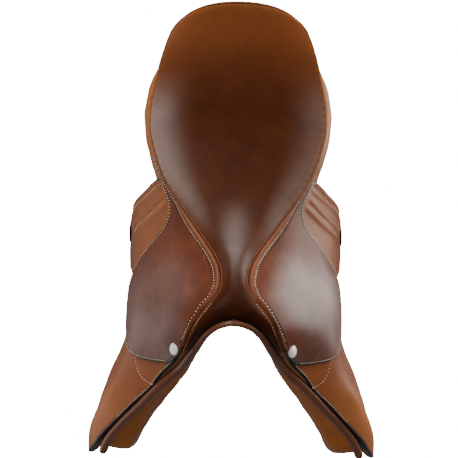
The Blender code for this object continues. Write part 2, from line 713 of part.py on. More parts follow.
def make_keeper(label, side, pivot):
    """A low leather arch sewn to the flap at its two ends, for the tail of the stirrup leather."""
    turn = np.linspace(-1, 1, 9)
    rise = KEEPER_RISE * (1 - np.abs(turn) ** 3)
    y, t = np.meshgrid(np.array([-0.5, 0, 0.5]) * KEEPER_BAND + KEEPER_Y, turn)
    z = KEEPER_Z - t * KEEPER_SPAN / 2
    stand = np.broadcast_to(rise[:, None], y.shape)
    outer = skin(y, z, FLAP_FACE - SHEET_FIT - KEEPER_LEATHER - stand)
    inner = skin(y, z, FLAP_FACE - SHEET_FIT - stand)
    points, faces = slab(outer, inner)
    mesh_object("leather_keeper_" + label, points, faces, "strap_leather", side, pivot)


def shifted_front(z_values, setback):
    return [(float(front_edge_y(z)) + setback, z) for z in z_values]


def sweat_grid():
    start = shifted_front((6,), SWEAT_SETBACK)
    top = (start[0], (-190, 4), (-150, 4), (-100, 4), (-50, 4), (0, 4), (34, 2), (62, -14), (82, -44))
    front = start + shifted_front((-20, -50, -85, -120, -140), SWEAT_SETBACK)
    bottom = (front[-1], (-256, -178), (-234, -216), (-195, -242), (-130, -254), (-75, -248), (-32, -222))
    rear = ((82, -44), (80, -64), (66, -100), (44, -142), (12, -187), (-32, -222))
    return coons(top, bottom, front, rear, 15, 10)


def make_sweat_flaps():
    grid = sweat_grid()
    near = sweat_face(grid[..., 0], grid[..., 1])
    for label, side in SIDES.items():
        side_sheet("sweat_flap_" + label, "panel_leather", grid, near, near + SWEAT_LEATHER, side)


def block(name, top, bottom, side, across=5, down=9):
    """A wedge of foam under the flap, tapered at its borders."""
    grid = coons(top, bottom, None, None, across, down)
    y, z = grid[..., 0], grid[..., 1]
    deep = sweat_face(y, z) - SOFT_FIT
    a, b = np.meshgrid(np.linspace(-1, 1, across), np.linspace(-1, 1, down))
    full = (1 - np.abs(a) ** 3) * (1 - np.abs(b) ** 6)
    face = FLAP_BACK + SOFT_FIT
    near = deep - 2.5 - (deep - 2.5 - face) * full
    points, faces = slab(skin(y, z, near), skin(y, z, deep))
    return mesh_object(name, points, faces, "panel_leather", side)


def make_blocks():
    knee_top = ((-214, -72), (-203, -68), (-190, -66))
    knee_low = ((-238, -188), (-222, -196), (-204, -200))
    thigh_top = ((60, -54), (69, -52), (78, -50))
    thigh_low = ((41, -128), (50, -126), (59, -122))
    for label, side in SIDES.items():
        block("knee_block_" + label, knee_top, knee_low, side, down=11)
        block("thigh_block_" + label, thigh_top, thigh_low, side)


# Lowest level of the panel by station, and its thickness by level
PANEL_STATIONS = (-262, -254, -243, -231, -220, -209, -195, -172, -140, -110, -80, -50, -20, 8)
PANEL_LOW = (-158, -186, -208, -224, -234, -240, -245, -247, -238, -200, -130, -82, -58, -52)
PANEL_THICK = ((-270, 22), (-200, 27), (-120, 31), (-60, 29), (-20, 28), (20, 28), (50, 30))

# Rear sections of the panel, as (x, z) corners from the tree outwards and round under the back
PANEL_REAR = {
    34: ((34, 52), (62, 52), (84, 49), (97, 42), (104, 26), (103, 6), (101, -18), (100, -36), (92, -44), (76, -24),
         (54, -4), (34, 8)),
    62: ((34, 58), (62, 58), (86, 56), (104, 60), (114, 50), (115, 30), (108, 6), (103, -14), (98, -32), (86, -34),
         (64, -10), (34, 8)),
    92: ((34, 68), (62, 68), (88, 66), (110, 71), (121, 60), (124, 40), (120, 14), (113, -6), (104, -20), (88, -18),
         (64, -2), (34, 10)),
    126: ((36, 87), (64, 88), (90, 86), (113, 84), (125, 70), (128, 46), (124, 20), (114, 2), (100, -6), (84, 0),
          (62, 10), (36, 21)),
    158: ((38, 104), (62, 106), (88, 104), (108, 97), (121, 82), (122, 60), (116, 38), (105, 24), (92, 18), (78, 22),
          (58, 28), (38, 38)),
    186: ((38, 120), (58, 122), (80, 118), (97, 108), (108, 92), (108, 72), (101, 56), (91, 47), (79, 43), (66, 45),
          (52, 49), (38, 57)),
    207: ((40, 124), (54, 126), (70, 120), (84, 108), (92, 94), (92, 78), (84, 69), (75, 64), (66, 63), (56, 65),
          (47, 69), (40, 77)),
    217: ((46, 116), (54, 117), (64, 110), (73, 100), (77, 91), (76, 83), (71, 78), (65, 75), (59, 75), (53, 77),
          (49, 80), (46, 88)),
}
CHANNEL_TOP = (
    (-209, 63), (-195, 74), (-172, 74), (-140, 68), (-110, 60), (-80, 52), (-50, 48), (-20, 48), (8, 49),
)
CHANNEL_FLOOR = (
    (-209, 48), (-195, 50), (-172, 46), (-140, 38), (-110, 28), (-80, 20), (-50, 14), (-20, 10), (8, 8),
)
CHANNEL_HALF = 33.0
PANEL_SHOULDER = 42.0
CHANNEL_FROM = -210.0
PANEL_SAG = 1.8


def front_section(y, low):
    """Corners of the panel where it lies under the flaps: channel, out, down, and back up the inside."""
    edge = np.array(FRONT_EDGE[::-1], float)
    start = float(np.interp(y - PANEL_SETBACK, edge[:, 0], edge[:, 1]))
    top = min(PANEL_SHOULDER, start)
    thick = np.array(PANEL_THICK, float)
    levels = top + (low - top) * np.array([0.0, 0.22, 0.5, 0.78, 0.97])
    face = panel_face(np.full(5, y), levels) + PANEL_SAG
    deep = np.interp(levels, thick[:, 0], thick[:, 1]) * min(1.0, 0.75 + (y + 262) / 40)
    face[-1] += 2
    outer = skin(np.full(5, y), levels, face)
    inner = skin(np.full(5, y), levels, face + deep)
    inner[-1, 2] += 4
    if y < CHANNEL_FROM:
        return np.concatenate([outer, inner[::-1]])
    rear = outer[0, 1]
    roof = (CHANNEL_HALF, rear, hermite(*np.array(CHANNEL_TOP, float).T, y)[0])
    floor = (CHANNEL_HALF + 2, rear, hermite(*np.array(CHANNEL_FLOOR, float).T, y)[0])
    return np.concatenate([[roof], outer, inner[:0:-1][:3], [floor]])


def closed_line(corners, count):
    """Evenly spaced points of the smooth closed line through the corners."""
    corners = np.asarray(corners, float)
    wrapped = np.concatenate([corners[-3:], corners, corners[:3]])
    knots = np.r_[0, np.cumsum(np.linalg.norm(np.diff(wrapped, axis=0), axis=1))]
    at = np.linspace(knots[3], knots[3 + len(corners)], count, endpoint=False)
    return np.stack([hermite(knots, column, at) for column in wrapped.T], axis=1)


def spread(grid, top=1.5, low=1.5, front=1.5, rear=1.5):
    """The grid with a row and a column more on every side, this far out."""
    for before, after in ((top, low), (front, rear)):
        first, last = grid[0] - grid[1], grid[-1] - grid[-2]
        first *= before / np.linalg.norm(first, axis=1)[:, None]
        last *= after / np.linalg.norm(last, axis=1)[:, None]
        grid = np.concatenate([(grid[0] + first)[None], grid, (grid[-1] + last)[None]])
        grid = grid.transpose(1, 0, 2)
    return grid


def panel_rooms():
    """Name, points and faces of everything that the panels make room for."""
    fixed, moving = flap_grids()
    sheets = {
        "flap_top": (fixed, lambda y, z: FLAP_BACK),
        "flap": (moving, lambda y, z: FLAP_BACK),
        "sweat": (sweat_grid(), lambda y, z: sweat_face(y, z) + SWEAT_LEATHER),
        "web": (web_grid(), lambda y, z: sweat_face(y, z) + WEB_CLOTH),
        "pocket": (pocket_grid(), lambda y, z: panel_face(y, z) - PANEL_FIT),
    }
    for name, (grid, back) in sheets.items():
        grid = spread(grid, low=9, front=9) if name == "sweat" else spread(grid)
        y, z = grid[..., 0], grid[..., 1]
        yield name, *slab(skin(y, z, -3.0), skin(y, z, back(y, z) + PANEL_FIT))
    yield "facing", *cantle_band(14.0, -1.5 * SOFT_FIT, 1.2)
    low_edge = HEAD_FOOT_Z - 2
    for name, edges, foot, top, depth, thick, along in (
        ("head", ((-198, -199), (-109, -63)), low_edge, HEAD_TOP, head_depth, HEAD_WOOD, 4),
        ("plate", ((-198, -199), (-173, -173)), low_edge + 12, HEAD_TOP + HEAD_WOOD + 2, plate_depth, PLATE_STEEL, 1),
    ):
        under = arch_shell(*edges, foot, top - 12, lambda y: depth(y) - 12, thick + 12 + 3 * SOFT_FIT, 21, along)
        yield name, *under
    across = np.sin(np.linspace(-1, 1, 11) * math.pi / 2) * 0.96
    u, v = np.meshgrid(across, np.linspace(7.4, TREE_REAR_LINE + 0.35, 12))
    top = seat_stack(v.ravel())[2].reshape(v.shape)
    yield "tree", *slab(seat_point(u, v, top - 14), seat_point(u, v, top + TREE_WOOD + 2 * SOFT_FIT))
    u, v = np.meshgrid((0.48, 0.72), np.linspace(8.0, 15.0, 9))
    top = seat_stack(v.ravel())[2].reshape(v.shape) + TREE_WOOD
    yield "spring", *slab(seat_point(u, v, top - 2), seat_point(u, v, top + SPRING_STEEL + 2 * SOFT_FIT))


def make_panels():
    rings = [closed_line(front_section(y, low), 18) for y, low in zip(PANEL_STATIONS, PANEL_LOW)]
    rings += [closed_line([(x, y, z) for x, z in corners], 18) for y, corners in PANEL_REAR.items()]
    loft_points, loft_faces = loft(np.array(rings))
    for label, side in SIDES.items():
        panel = mesh_object("panel_" + label, loft_points, loft_faces, "panel_leather", side)
        for name, points, faces in panel_rooms():
            boolean(panel, helper("panel_room_%s_%s" % (name, label), points, faces, side), "DIFFERENCE")


def make_roll():
    """The rolled leather edge that runs from one flap's tip over the arch to the other's."""
    left = []
    for height in (-140, -120, -85, -50, -20, 5, 28, 50):
        y = float(front_edge_y(height)) if height < 30 else -213.5 + (height - 30) * 0.12
        place = skin(y + ROLL_SETBACK, height, FLAP_BACK + ROLL_RADIUS + 3 * SOFT_FIT)
        left.append(place - np.array([0, ROLL_FORWARD, 0]))
    half = left + [np.array(place, float) for place in ROLL_CROWN]
    whole = half + [place * np.array([-1, 1, 1]) for place in reversed(half[:-1])]
    line = path(whole, 55)
    radius = np.interp(line[:, 2], ROLL_TAPER, (ROLL_RADIUS, ROLL_CROWN_RADIUS))
    points, faces = tube(line, radius, 6)
    mesh_object("front_roll", points, faces, "panel_leather")


def make_nails():
    for label, side in SIDES.items():
        place, rear, low, out = frame_at(NAIL_Y, NAIL_Z)
        head = [(0, NAIL_HEAD_RISE), (2.6, NAIL_HEAD_RISE - 0.3), (4.8, NAIL_HEAD_RISE - 1.0)]
        head += [(NAIL_HEAD_RADIUS, 1.1), (NAIL_HEAD_RADIUS, 2 * FIT), (NAIL_SHANK_RADIUS, 2 * FIT)]
        head += [(NAIL_SHANK_RADIUS, -NAIL_REACH), (0, -NAIL_REACH - 2)]
        sides = 16
        rings = []
        for radius, height in head[1:-1]:
            turn = np.linspace(0, 2 * math.pi, sides, endpoint=False)[:, None]
            rings.append(place + out * height + radius * (np.cos(turn) * rear + np.sin(turn) * low))
        points, faces = loft(np.array(rings))
        points[-2] = place + out * head[0][1]
        points[-1] = place + out * head[-1][1]
        mesh_object("nail_" + label, points, faces, "pewter", side)


def make_bars():
    """Stirrup bars open at the rear, each with a hinged catch that closes the slot."""
    arm, base = BAR_ARM_DEPTH, BAR_BASE_DEPTH
    outline = [
        (BAR_FRONT, arm), (BAR_REAR - 9, arm), (BAR_REAR - 7, arm + BAR_ARM / 2), (BAR_REAR - 9, arm + BAR_ARM),
        (BAR_FRONT + 8, arm + BAR_ARM), (BAR_FRONT + 8, base), (BAR_REAR, base),
        (BAR_REAR, base + BAR_BASE), (BAR_FRONT, base + BAR_BASE),
    ]
    ear = [(BAR_REAR - 4, base - 2.4), (CATCH_Y + 4, base - 2.4), (CATCH_Y + 4, base + BAR_BASE),
           (BAR_REAR - 4, base + BAR_BASE)]
    tongue = [(CATCH_Y - 2.6, arm + 0.6), (CATCH_Y + 1.2, arm + 0.6), (CATCH_Y + 2.8, base - 3.4),
              (CATCH_Y + 2.8, base + 2.2), (CATCH_Y - 2.8, base + 2.2), (CATCH_Y - 2.8, base - 3.4)]
    half = BAR_WIDTH / 2
    pin_depth = base + 0.2
    for label, side in SIDES.items():
        place, rear, low, out = frame_at(CATCH_Y, BAR_Z, pin_depth)
        points, faces = prism(dense(outline, 14), BAR_Z - half, BAR_Z + half)
        bar = mesh_object("stirrup_bar_" + label, points, faces, "steel", side)
        for sign, word in ((1, "upper"), (-1, "lower")):
            inner = BAR_Z + sign * (CATCH_WIDTH / 2 + FIT)
            points, faces = prism(ear, min(inner, BAR_Z + sign * half), max(inner, BAR_Z + sign * half))
            boolean(bar, helper("bar_ear_%s_%s" % (word, label), points, faces, side), "UNION")
        points, faces = tube([place - low * 12, place + low * 12], PIN_RADIUS + 0.3, 12)
        hole = helper("catch_pin_hole_" + label, points, faces, side)
        boolean(bar, hole, "DIFFERENCE")
        points, faces = prism(tongue, BAR_Z - CATCH_WIDTH / 2, BAR_Z + CATCH_WIDTH / 2)
        catch = mesh_object("bar_catch_" + label, points, faces, "steel", side, place)
        boolean(catch, hole, "DIFFERENCE")
        points, faces = tube([place - low * (half + 0.6), place + low * (half + 0.6)], PIN_RADIUS, 10)
        mesh_object("catch_pin_" + label, points, faces, "steel", side)


def web_grid():
    return coons(((-60, 56), (-25, 58), (12, 56)), ((-60, 8), (-25, 8), (12, 8)), None, None, 7, 5)


def make_billets():
    for label, side in SIDES.items():
        grid = web_grid()
        near = sweat_face(grid[..., 0], grid[..., 1])
        side_sheet("billet_web_" + label, "web", grid, near, near + WEB_CLOTH, side)
        for row, centre in BILLET_Y.items():
            z = np.linspace(BILLET_TOP, BILLET_END, 15)
            y = np.array([-0.5, 0, 0.5]) * BILLET_WIDTH + centre
            y, z = np.meshgrid(y, z)
            tip = ease((z - BILLET_END) / 14)
            y = centre + (y - centre) * (0.35 + 0.65 * tip)
            room = SOFT_FIT + (BILLET_AIR - SOFT_FIT) * ease((15 - z) / 60)
            far = sweat_face(np.full_like(y, centre), z) - room
            pivot = skin(centre, 25.0, 20.0)
            points, faces = slab(skin(y, z, far - BILLET_STRAP), skin(y, z, far))
            mesh_object("billet_%s_%s" % (row, label), points, faces, "strap_leather", side, pivot)


def billet_depths(z):
    centre = BILLET_Y["front"]
    room = SOFT_FIT + (BILLET_AIR - SOFT_FIT) * ease((15 - z) / 60)
    far = sweat_face(np.full_like(z, centre), z) - room
    return far - BILLET_STRAP, far


def make_guards():
    """A leather plate over the front billet with a loop behind it, free to slide down the strap."""
    centre = BILLET_Y["front"]
    for label, side in SIDES.items():
        y, z = np.meshgrid(np.linspace(-0.5, 0.5, 5) * GUARD_WIDTH + centre, np.linspace(GUARD_TOP, GUARD_LOW, 5))
        near, far = billet_depths(z)
        face = near - 4 * FIT - GUARD_LEATHER
        points, faces = slab(skin(y, z, face), skin(y, z, face + GUARD_LEATHER))
        pivot = skin(centre, GUARD_TOP, 12.0)
        mesh_object("buckle_guard_" + label, points, faces, "strap_leather", side, pivot)
        wide = BILLET_WIDTH / 2 + 1.2
        mid = (GUARD_TOP + GUARD_LOW) / 2
        high, low = billet_depths(np.array([mid]))
        high, low = high[0] - 3 * FIT, low[0] + 2 * FIT
        loop = [
            (centre - wide, high), (centre - wide, low), (centre + wide, low), (centre + wide, high),
            (centre + wide + LOOP_LEATHER, high), (centre + wide + LOOP_LEATHER, low + LOOP_LEATHER),
            (centre - wide - LOOP_LEATHER, low + LOOP_LEATHER), (centre - wide - LOOP_LEATHER, high),
        ]
        points, faces = prism(dense(loop, 15), mid - 9, mid + 9)
        mesh_object("guard_loop_" + label, points, faces, "strap_leather", side, pivot)


def pocket_grid():
    return coons(((-196, 34), (-182, 34), (-168, 34)), ((-200, 8), (-184, 6), (-166, 8)), None, None, 5, 4)


def make_pockets():
    """Leather pockets on the panels that take the feet of the tree's head."""
    for label, side in SIDES.items():
        grid = pocket_grid()
        y, z = grid[..., 0], grid[..., 1]
        near = panel_face(y, z) - PANEL_FIT - POCKET_LEATHER
        side_sheet("point_pocket_" + label, "strap_leather", grid, near, near + POCKET_LEATHER, side)


def main():
    for obj in list(bpy.data.objects):
        bpy.data.objects.remove(obj, do_unlink=True)
    make_seat()
    make_tree()
    make_head()
    make_cantle()
    make_skirts()
    make_welt()
    make_flaps()
    make_sweat_flaps()
    make_blocks()
    make_panels()
    make_roll()
    make_nails()
    make_bars()
    make_billets()
    make_guards()
    make_pockets()


main()
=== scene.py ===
"""The finished look of a close contact saddle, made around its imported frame.

Sizes are millimetres until a mesh is made, as in the part's own source. The saddle faces -Y, +Z is
up and +X is the rider's left. A piece of one side is made for the left and mirrored for the right.
"""

import json
import math

import bmesh
import bpy
import numpy as np
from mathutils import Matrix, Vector

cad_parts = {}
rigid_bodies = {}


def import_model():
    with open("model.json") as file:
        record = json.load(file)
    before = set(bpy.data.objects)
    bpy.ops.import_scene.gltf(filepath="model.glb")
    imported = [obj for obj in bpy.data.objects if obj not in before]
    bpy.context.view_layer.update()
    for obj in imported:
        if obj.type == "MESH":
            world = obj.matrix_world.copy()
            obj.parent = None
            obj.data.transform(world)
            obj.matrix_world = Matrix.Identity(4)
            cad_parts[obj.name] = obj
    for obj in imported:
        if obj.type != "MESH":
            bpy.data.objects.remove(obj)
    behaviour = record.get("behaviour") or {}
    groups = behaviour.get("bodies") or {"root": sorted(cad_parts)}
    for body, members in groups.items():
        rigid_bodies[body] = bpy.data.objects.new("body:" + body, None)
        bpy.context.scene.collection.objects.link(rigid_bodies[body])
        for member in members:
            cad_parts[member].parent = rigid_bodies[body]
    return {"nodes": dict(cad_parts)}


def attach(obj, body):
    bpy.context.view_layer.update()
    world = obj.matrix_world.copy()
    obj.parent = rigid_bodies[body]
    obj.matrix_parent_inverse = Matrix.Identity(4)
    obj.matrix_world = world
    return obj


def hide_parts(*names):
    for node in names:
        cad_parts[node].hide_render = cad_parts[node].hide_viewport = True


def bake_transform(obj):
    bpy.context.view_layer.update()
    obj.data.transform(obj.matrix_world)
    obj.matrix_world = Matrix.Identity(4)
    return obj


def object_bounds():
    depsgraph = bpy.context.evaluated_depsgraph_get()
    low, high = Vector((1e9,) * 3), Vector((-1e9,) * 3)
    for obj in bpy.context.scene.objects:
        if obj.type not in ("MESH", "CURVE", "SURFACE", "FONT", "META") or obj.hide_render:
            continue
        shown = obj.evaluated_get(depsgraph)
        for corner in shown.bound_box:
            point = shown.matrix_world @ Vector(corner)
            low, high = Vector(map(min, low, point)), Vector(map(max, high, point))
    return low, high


MM = 0.001
SIDES = {"left": 1, "right": -1}

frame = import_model()
lowest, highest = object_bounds()
CAD_BOX = [list(lowest), list(highest)]
bpy.ops.object.select_all(action="DESELECT")

# Thicknesses and room, as in the part
SEAT_LEATHER = 1.8
SKIRT_LEATHER = 3.2
FLAP_LEATHER = 4.0
SWEAT_LEATHER = 3.0
KEEPER_LEATHER = 2.2
BILLET_STRAP = 4.0
GUARD_LEATHER = 3.0
LOOP_LEATHER = 1.6
WEB_CLOTH = 2.0
ROLL_RADIUS = 4.2
ROLL_FORWARD = 6.5
ROLL_SETBACK = 1.0
ROLL_CROWN = (
    (58, -214, 8.5), (51.4, -212.5, 25), (44, -211, 44.5), (36, -209.6, 67), (26.5, -208.2, 87.6),
    (14, -206.8, 101.5), (0, -206.2, 106.8),
)
ROLL_CROWN_RADIUS = 3.3
ROLL_FULLER = 1.4  # how much thicker the finished roll is than its solid, on the flaps
ROLL_TAPER = (50, 100)
FIT, SHEET_FIT, SOFT_FIT = 0.35, 1.0, 0.9
EDGE_ROOM, BLOCK_ROOM, BLOCK_REACH = 3.2, 18.0, 70.0
BILLET_AIR = 4.8
FLAP_FACE = SKIRT_LEATHER + SHEET_FIT
FLAP_BACK = FLAP_FACE + FLAP_LEATHER
NAIL_Y, NAIL_Z = -209.0, 48.0
NAIL_HEAD_RADIUS, NAIL_HEAD_RISE, NAIL_RIM, NAIL_SHANK = 6.5, 2.8, 0.6, 5.0
NAIL_LEAN = (0.76, -0.33, 0.56)

# The finished edges come closer than the solids: radius of the fine welt cord, and room beside it
CORD_RADIUS = 1.15
SEAM_ROOM = 0.25
BILLET_WIDTH, BILLET_TOP, BILLET_END = 25.0, 40.0, -222.0
BILLET_Y = {"front": -45.0, "rear": -3.0}
GUARD_TOP, GUARD_LOW, GUARD_WIDTH = -100.0, -176.0, 44.0
KEEPER_Y, KEEPER_Z, KEEPER_BAND, KEEPER_SPAN, KEEPER_RISE = 52.0, -116.0, 22.0, 46.0, 2.6

# Lines of the seat from the arch to the cantle: ridge y, ridge z, welt x, welt y, welt z, crown
SEAT_LINES = np.array((
    (-202, 108, 56, -219, 46, 2.6),
    (-200, 113.5, 48.2, -212, 76, 2.5),
    (-195, 118.5, 40.2, -202, 97, 2.4),
    (-187, 121, 29.2, -190, 108, 2.3),
    (-175, 120.5, 19, -178, 112, 2.2),
    (-158, 116, 13.6, -159, 107.5, 2.2),
    (-134, 110.5, 16.4, -134, 100, 2.2),
    (-108, 103.5, 26.3, -109, 92.5, 2.4),
    (-75, 97, 44.2, -76, 84, 2.6),
    (-38, 91, 65.9, -38, 78, 3.0),
    (0, 88, 88.7, 0, 76.5, 3.4),
    (35, 88.5, 102.5, 35, 80.5, 3.6),
    (70, 94, 112, 70, 87, 3.8),
    (105, 106, 113, 104, 96.5, 4.0),
    (140, 123, 106.5, 138, 114.5, 4.0),
    (172, 142, 97, 167, 136, 4.0),
    (198, 156.5, 88, 188.5, 148, 4.0),
    (214, 165, 80, 198, 153.5, 4.0),
    (222, 168, 73, 204, 156.5, 4.0),
), float)
LAST_LINE = float(len(SEAT_LINES) - 1)

# Half-widths of the outer form of one side, by station along Y and by level
SIDE_STATIONS = (-260, -240, -215, -188, -150, -100, -50, 0, 50, 100)
SIDE_LEVELS = (60, 20, -20, -60, -120, -200, -270)
SIDE_WIDTHS = np.array((
    (44, 52, 68, 107, 168, 191, 186),
    (48, 58, 83, 126, 174, 191, 186),
    (57, 70, 106, 143, 173, 188, 183),
    (72, 96, 123, 147, 167, 182, 178),
    (80, 112, 131, 140, 156, 174, 173),
    (76, 113, 134, 139, 148, 162, 167),
    (78, 107, 131, 140, 148, 161, 165),
    (94, 117, 137, 145, 151, 163, 165),
    (108, 120, 134, 143, 152, 162, 163),
    (112, 116, 116, 121, 145, 150, 150),
), float)
FRONT_EDGE = ((-213, 30), (-221, -5), (-227, -20), (-237, -50), (-258, -120), (-267, -142))


def hermite(knots, values, at):
    """Smooth curve through values at the knots; values may have one row for each place asked."""
    knots = np.asarray(knots, float)
    at = np.atleast_1d(np.asarray(at, float))
    values = np.broadcast_to(np.asarray(values, float), (len(at), len(knots)))
    step = np.diff(knots)
    chord = np.diff(values, axis=1) / step
    slope = np.empty_like(values)
    slope[:, 0] = chord[:, 0]
    slope[:, -1] = chord[:, -1]
    slope[:, 1:-1] = (step[1:] * chord[:, :-1] + step[:-1] * chord[:, 1:]) / (step[1:] + step[:-1])
    cell = np.clip(np.searchsorted(knots, at) - 1, 0, len(step) - 1)
    row = np.arange(len(at))
    size = step[cell]
    t = (at - knots[cell]) / size
    low, high = values[row, cell], values[row, cell + 1]
    leave, arrive = slope[row, cell] * size, slope[row, cell + 1] * size
    inside = (
        low * (2 * t**3 - 3 * t**2 + 1)
        + leave * (t**3 - 2 * t**2 + t)
        + high * (3 * t**2 - 2 * t**3)
        + arrive * (t**3 - t**2)
    )
    past_end = high + slope[row, cell + 1] * (at - knots[cell + 1])
    before = low + slope[row, cell] * (at - knots[cell])
    return np.where(t > 1, past_end, np.where(t < 0, before, inside))


def ease(t):
    t = np.clip(t, 0, 1)
    return t * t * (3 - 2 * t)


def bell(off, width):
    """1 at 0, falling smoothly to both sides."""
    return np.exp(-((off / width) ** 2))


def unit(vectors):
    return vectors / np.maximum(np.linalg.norm(vectors, axis=-1, keepdims=True), 1e-12)


def distance_along(line):
    """How far each point of a line lies from its start."""
    return np.r_[0, np.cumsum(np.linalg.norm(np.diff(line, axis=0), axis=1))]


def places_at(at, run, line):
    """The places at these distances on a line of points whose own distances are run."""
    return np.stack([np.interp(at, run, column) for column in np.asarray(line, float).T], axis=1)


def path(points, count, straight=False):
    """Evenly spaced points of the smooth, or the straight-sided, line through given points."""
    points = np.asarray(points, float)
    knots = distance_along(points)
    at = np.linspace(0, knots[-1], count)
    if straight or len(points) < 3:
        return places_at(at, knots, points)
    return np.stack([hermite(knots, column, at) for column in points.T], axis=1)


def seat_line(v):
    """Ridge y, ridge z, welt x, welt y, welt z and crown at line v of the seat."""
    return [hermite(np.arange(len(SEAT_LINES)), column, v) for column in SEAT_LINES.T]


def seat_surface(u, v):
    ridge_y, ridge_z, welt_x, welt_y, welt_z, crown = seat_line(v)
    z = ridge_z + (welt_z - ridge_z) * np.abs(u) ** crown
    return np.stack([u * welt_x, ridge_y + (welt_y - ridge_y) * u**2, z], axis=-1)


def seat_point(u, v, depth=0.0):
    """A point this deep under the seat leather's face; u runs from welt to welt as -1 to 1."""
    shape = np.broadcast(u, v, depth).shape
    u, v, depth = (np.broadcast_to(a, shape).ravel().astype(float) for a in (u, v, depth))
    step = 0.02
    place = seat_surface(u, v)
    inner_u = np.where(u > 0, u - step, u)
    across = seat_surface(inner_u + step, v) - seat_surface(inner_u, v)
    inner_v = np.where(v > 1, v - step, v)
    along = seat_surface(u, inner_v + step) - seat_surface(u, inner_v)
    normal = unit(np.cross(across, along))
    return (place - normal * depth[:, None]).reshape(shape + (3,))


def rim_inset(v, room):
    """The u that lies this far inside the welt at line v."""
    ridge_y, ridge_z, welt_x, welt_y, welt_z, crown = seat_line(v)
    pace = np.sqrt(welt_x**2 + 4 * (welt_y - ridge_y) ** 2 + (crown * (ridge_z - welt_z)) ** 2)
    return 1 - room / pace


def welt_at(y):
    return hermite(SEAT_LINES[:, 3], SEAT_LINES[:, 2], y), hermite(SEAT_LINES[:, 3], SEAT_LINES[:, 4], y)


def side_width(y, z):
    """Half-width of the outer form at (y, z), from the table up to its top level, then to the welt."""
    shape = np.broadcast(y, z).shape
    y, z = (np.broadcast_to(a, shape).ravel().astype(float) for a in (y, z))
    columns = [hermite(SIDE_STATIONS, column, y) for column in SIDE_WIDTHS.T]
    levels = np.array(SIDE_LEVELS[::-1], float)
    rows = np.stack(columns[::-1], axis=1)
    low = hermite(levels, rows, z)
    top = levels[-1]
    slope = hermite(levels, rows, np.full_like(z, top)) - hermite(levels, rows, np.full_like(z, top - 1))
    welt_x, welt_z = welt_at(y)
    rise = np.maximum(welt_z - top, 1e-6)
    bend_z = top + 0.85 * rise
    bend_x = np.maximum(columns[0] + slope * 0.85 * rise, welt_x + 0.3 * np.maximum(columns[0] - welt_x, 0))
    a, b, c = top - 2 * bend_z + welt_z, 2 * (bend_z - top), top - z
    part = np.sqrt(np.maximum(b * b - 4 * a * c, 0))
    t = np.clip((-b + part) / (2 * a), 0, 1.2)
    high = columns[0] * (1 - t) ** 2 + 2 * bend_x * t * (1 - t) + welt_x * t**2
    return np.where((z > top) & (rise > 4), high, low).reshape(shape)


def skin_normal(y, z):
    reach = 2.0
    x = side_width(y, z)
    by_y = (side_width(y + reach, z) - side_width(y - reach, z)) / (2 * reach)
    by_z = (x - side_width(y, z - reach)) / reach
    return unit(np.stack([np.ones_like(x), -by_y, -by_z], axis=-1))


def skin(y, z, depth=0.0):
    """A point this deep under the outer form of the left side."""
    shape = np.broadcast(y, z, depth).shape
    y, z, depth = (np.broadcast_to(a, shape).astype(float) for a in (y, z, depth))
    return np.stack([side_width(y, z), y, z], axis=-1) - skin_normal(y, z) * depth[..., None]


def front_edge_y(z):
    edge = np.array(FRONT_EDGE[::-1], float)
    return hermite(edge[:, 1], edge[:, 0], np.ravel(z)).reshape(np.shape(z))


def sweat_face(y, z):
    """Depth of the sweat flap's face: close to the flap at the front edge, deeper where blocks lie."""
    behind = np.asarray(y, float) - front_edge_y(np.asarray(z, float))
    return FLAP_BACK + EDGE_ROOM + (BLOCK_ROOM - EDGE_ROOM) * ease(behind / BLOCK_REACH)


# Shader maths


class Value:
    """A shader socket that arithmetic adds Math nodes to."""

    def __init__(self, recipe, socket):
        self.recipe, self.socket = recipe, socket

    def maths(self, operation, *values, clamp=False):
        settings = {"operation": operation, "use_clamp": clamp}
        return self.recipe.node("ShaderNodeMath", settings, dict(enumerate(values)))

    def __add__(self, other):
        return self.maths("ADD", self, other)

    def __sub__(self, other):
        return self.maths("SUBTRACT", self, other)

    def __mul__(self, other):
        return self.maths("MULTIPLY", self, other)

    def held(self):
        """The value kept between 0 and 1."""
        return self.maths("ADD", self, 0.0, clamp=True)

    def between(self, low, high):
        """0 below low, 1 above high and smooth between."""
        inputs = {"Value": self, "From Min": low, "From Max": high}
        return self.recipe.node("ShaderNodeMapRange", {"interpolation_type": "SMOOTHSTEP"}, inputs)


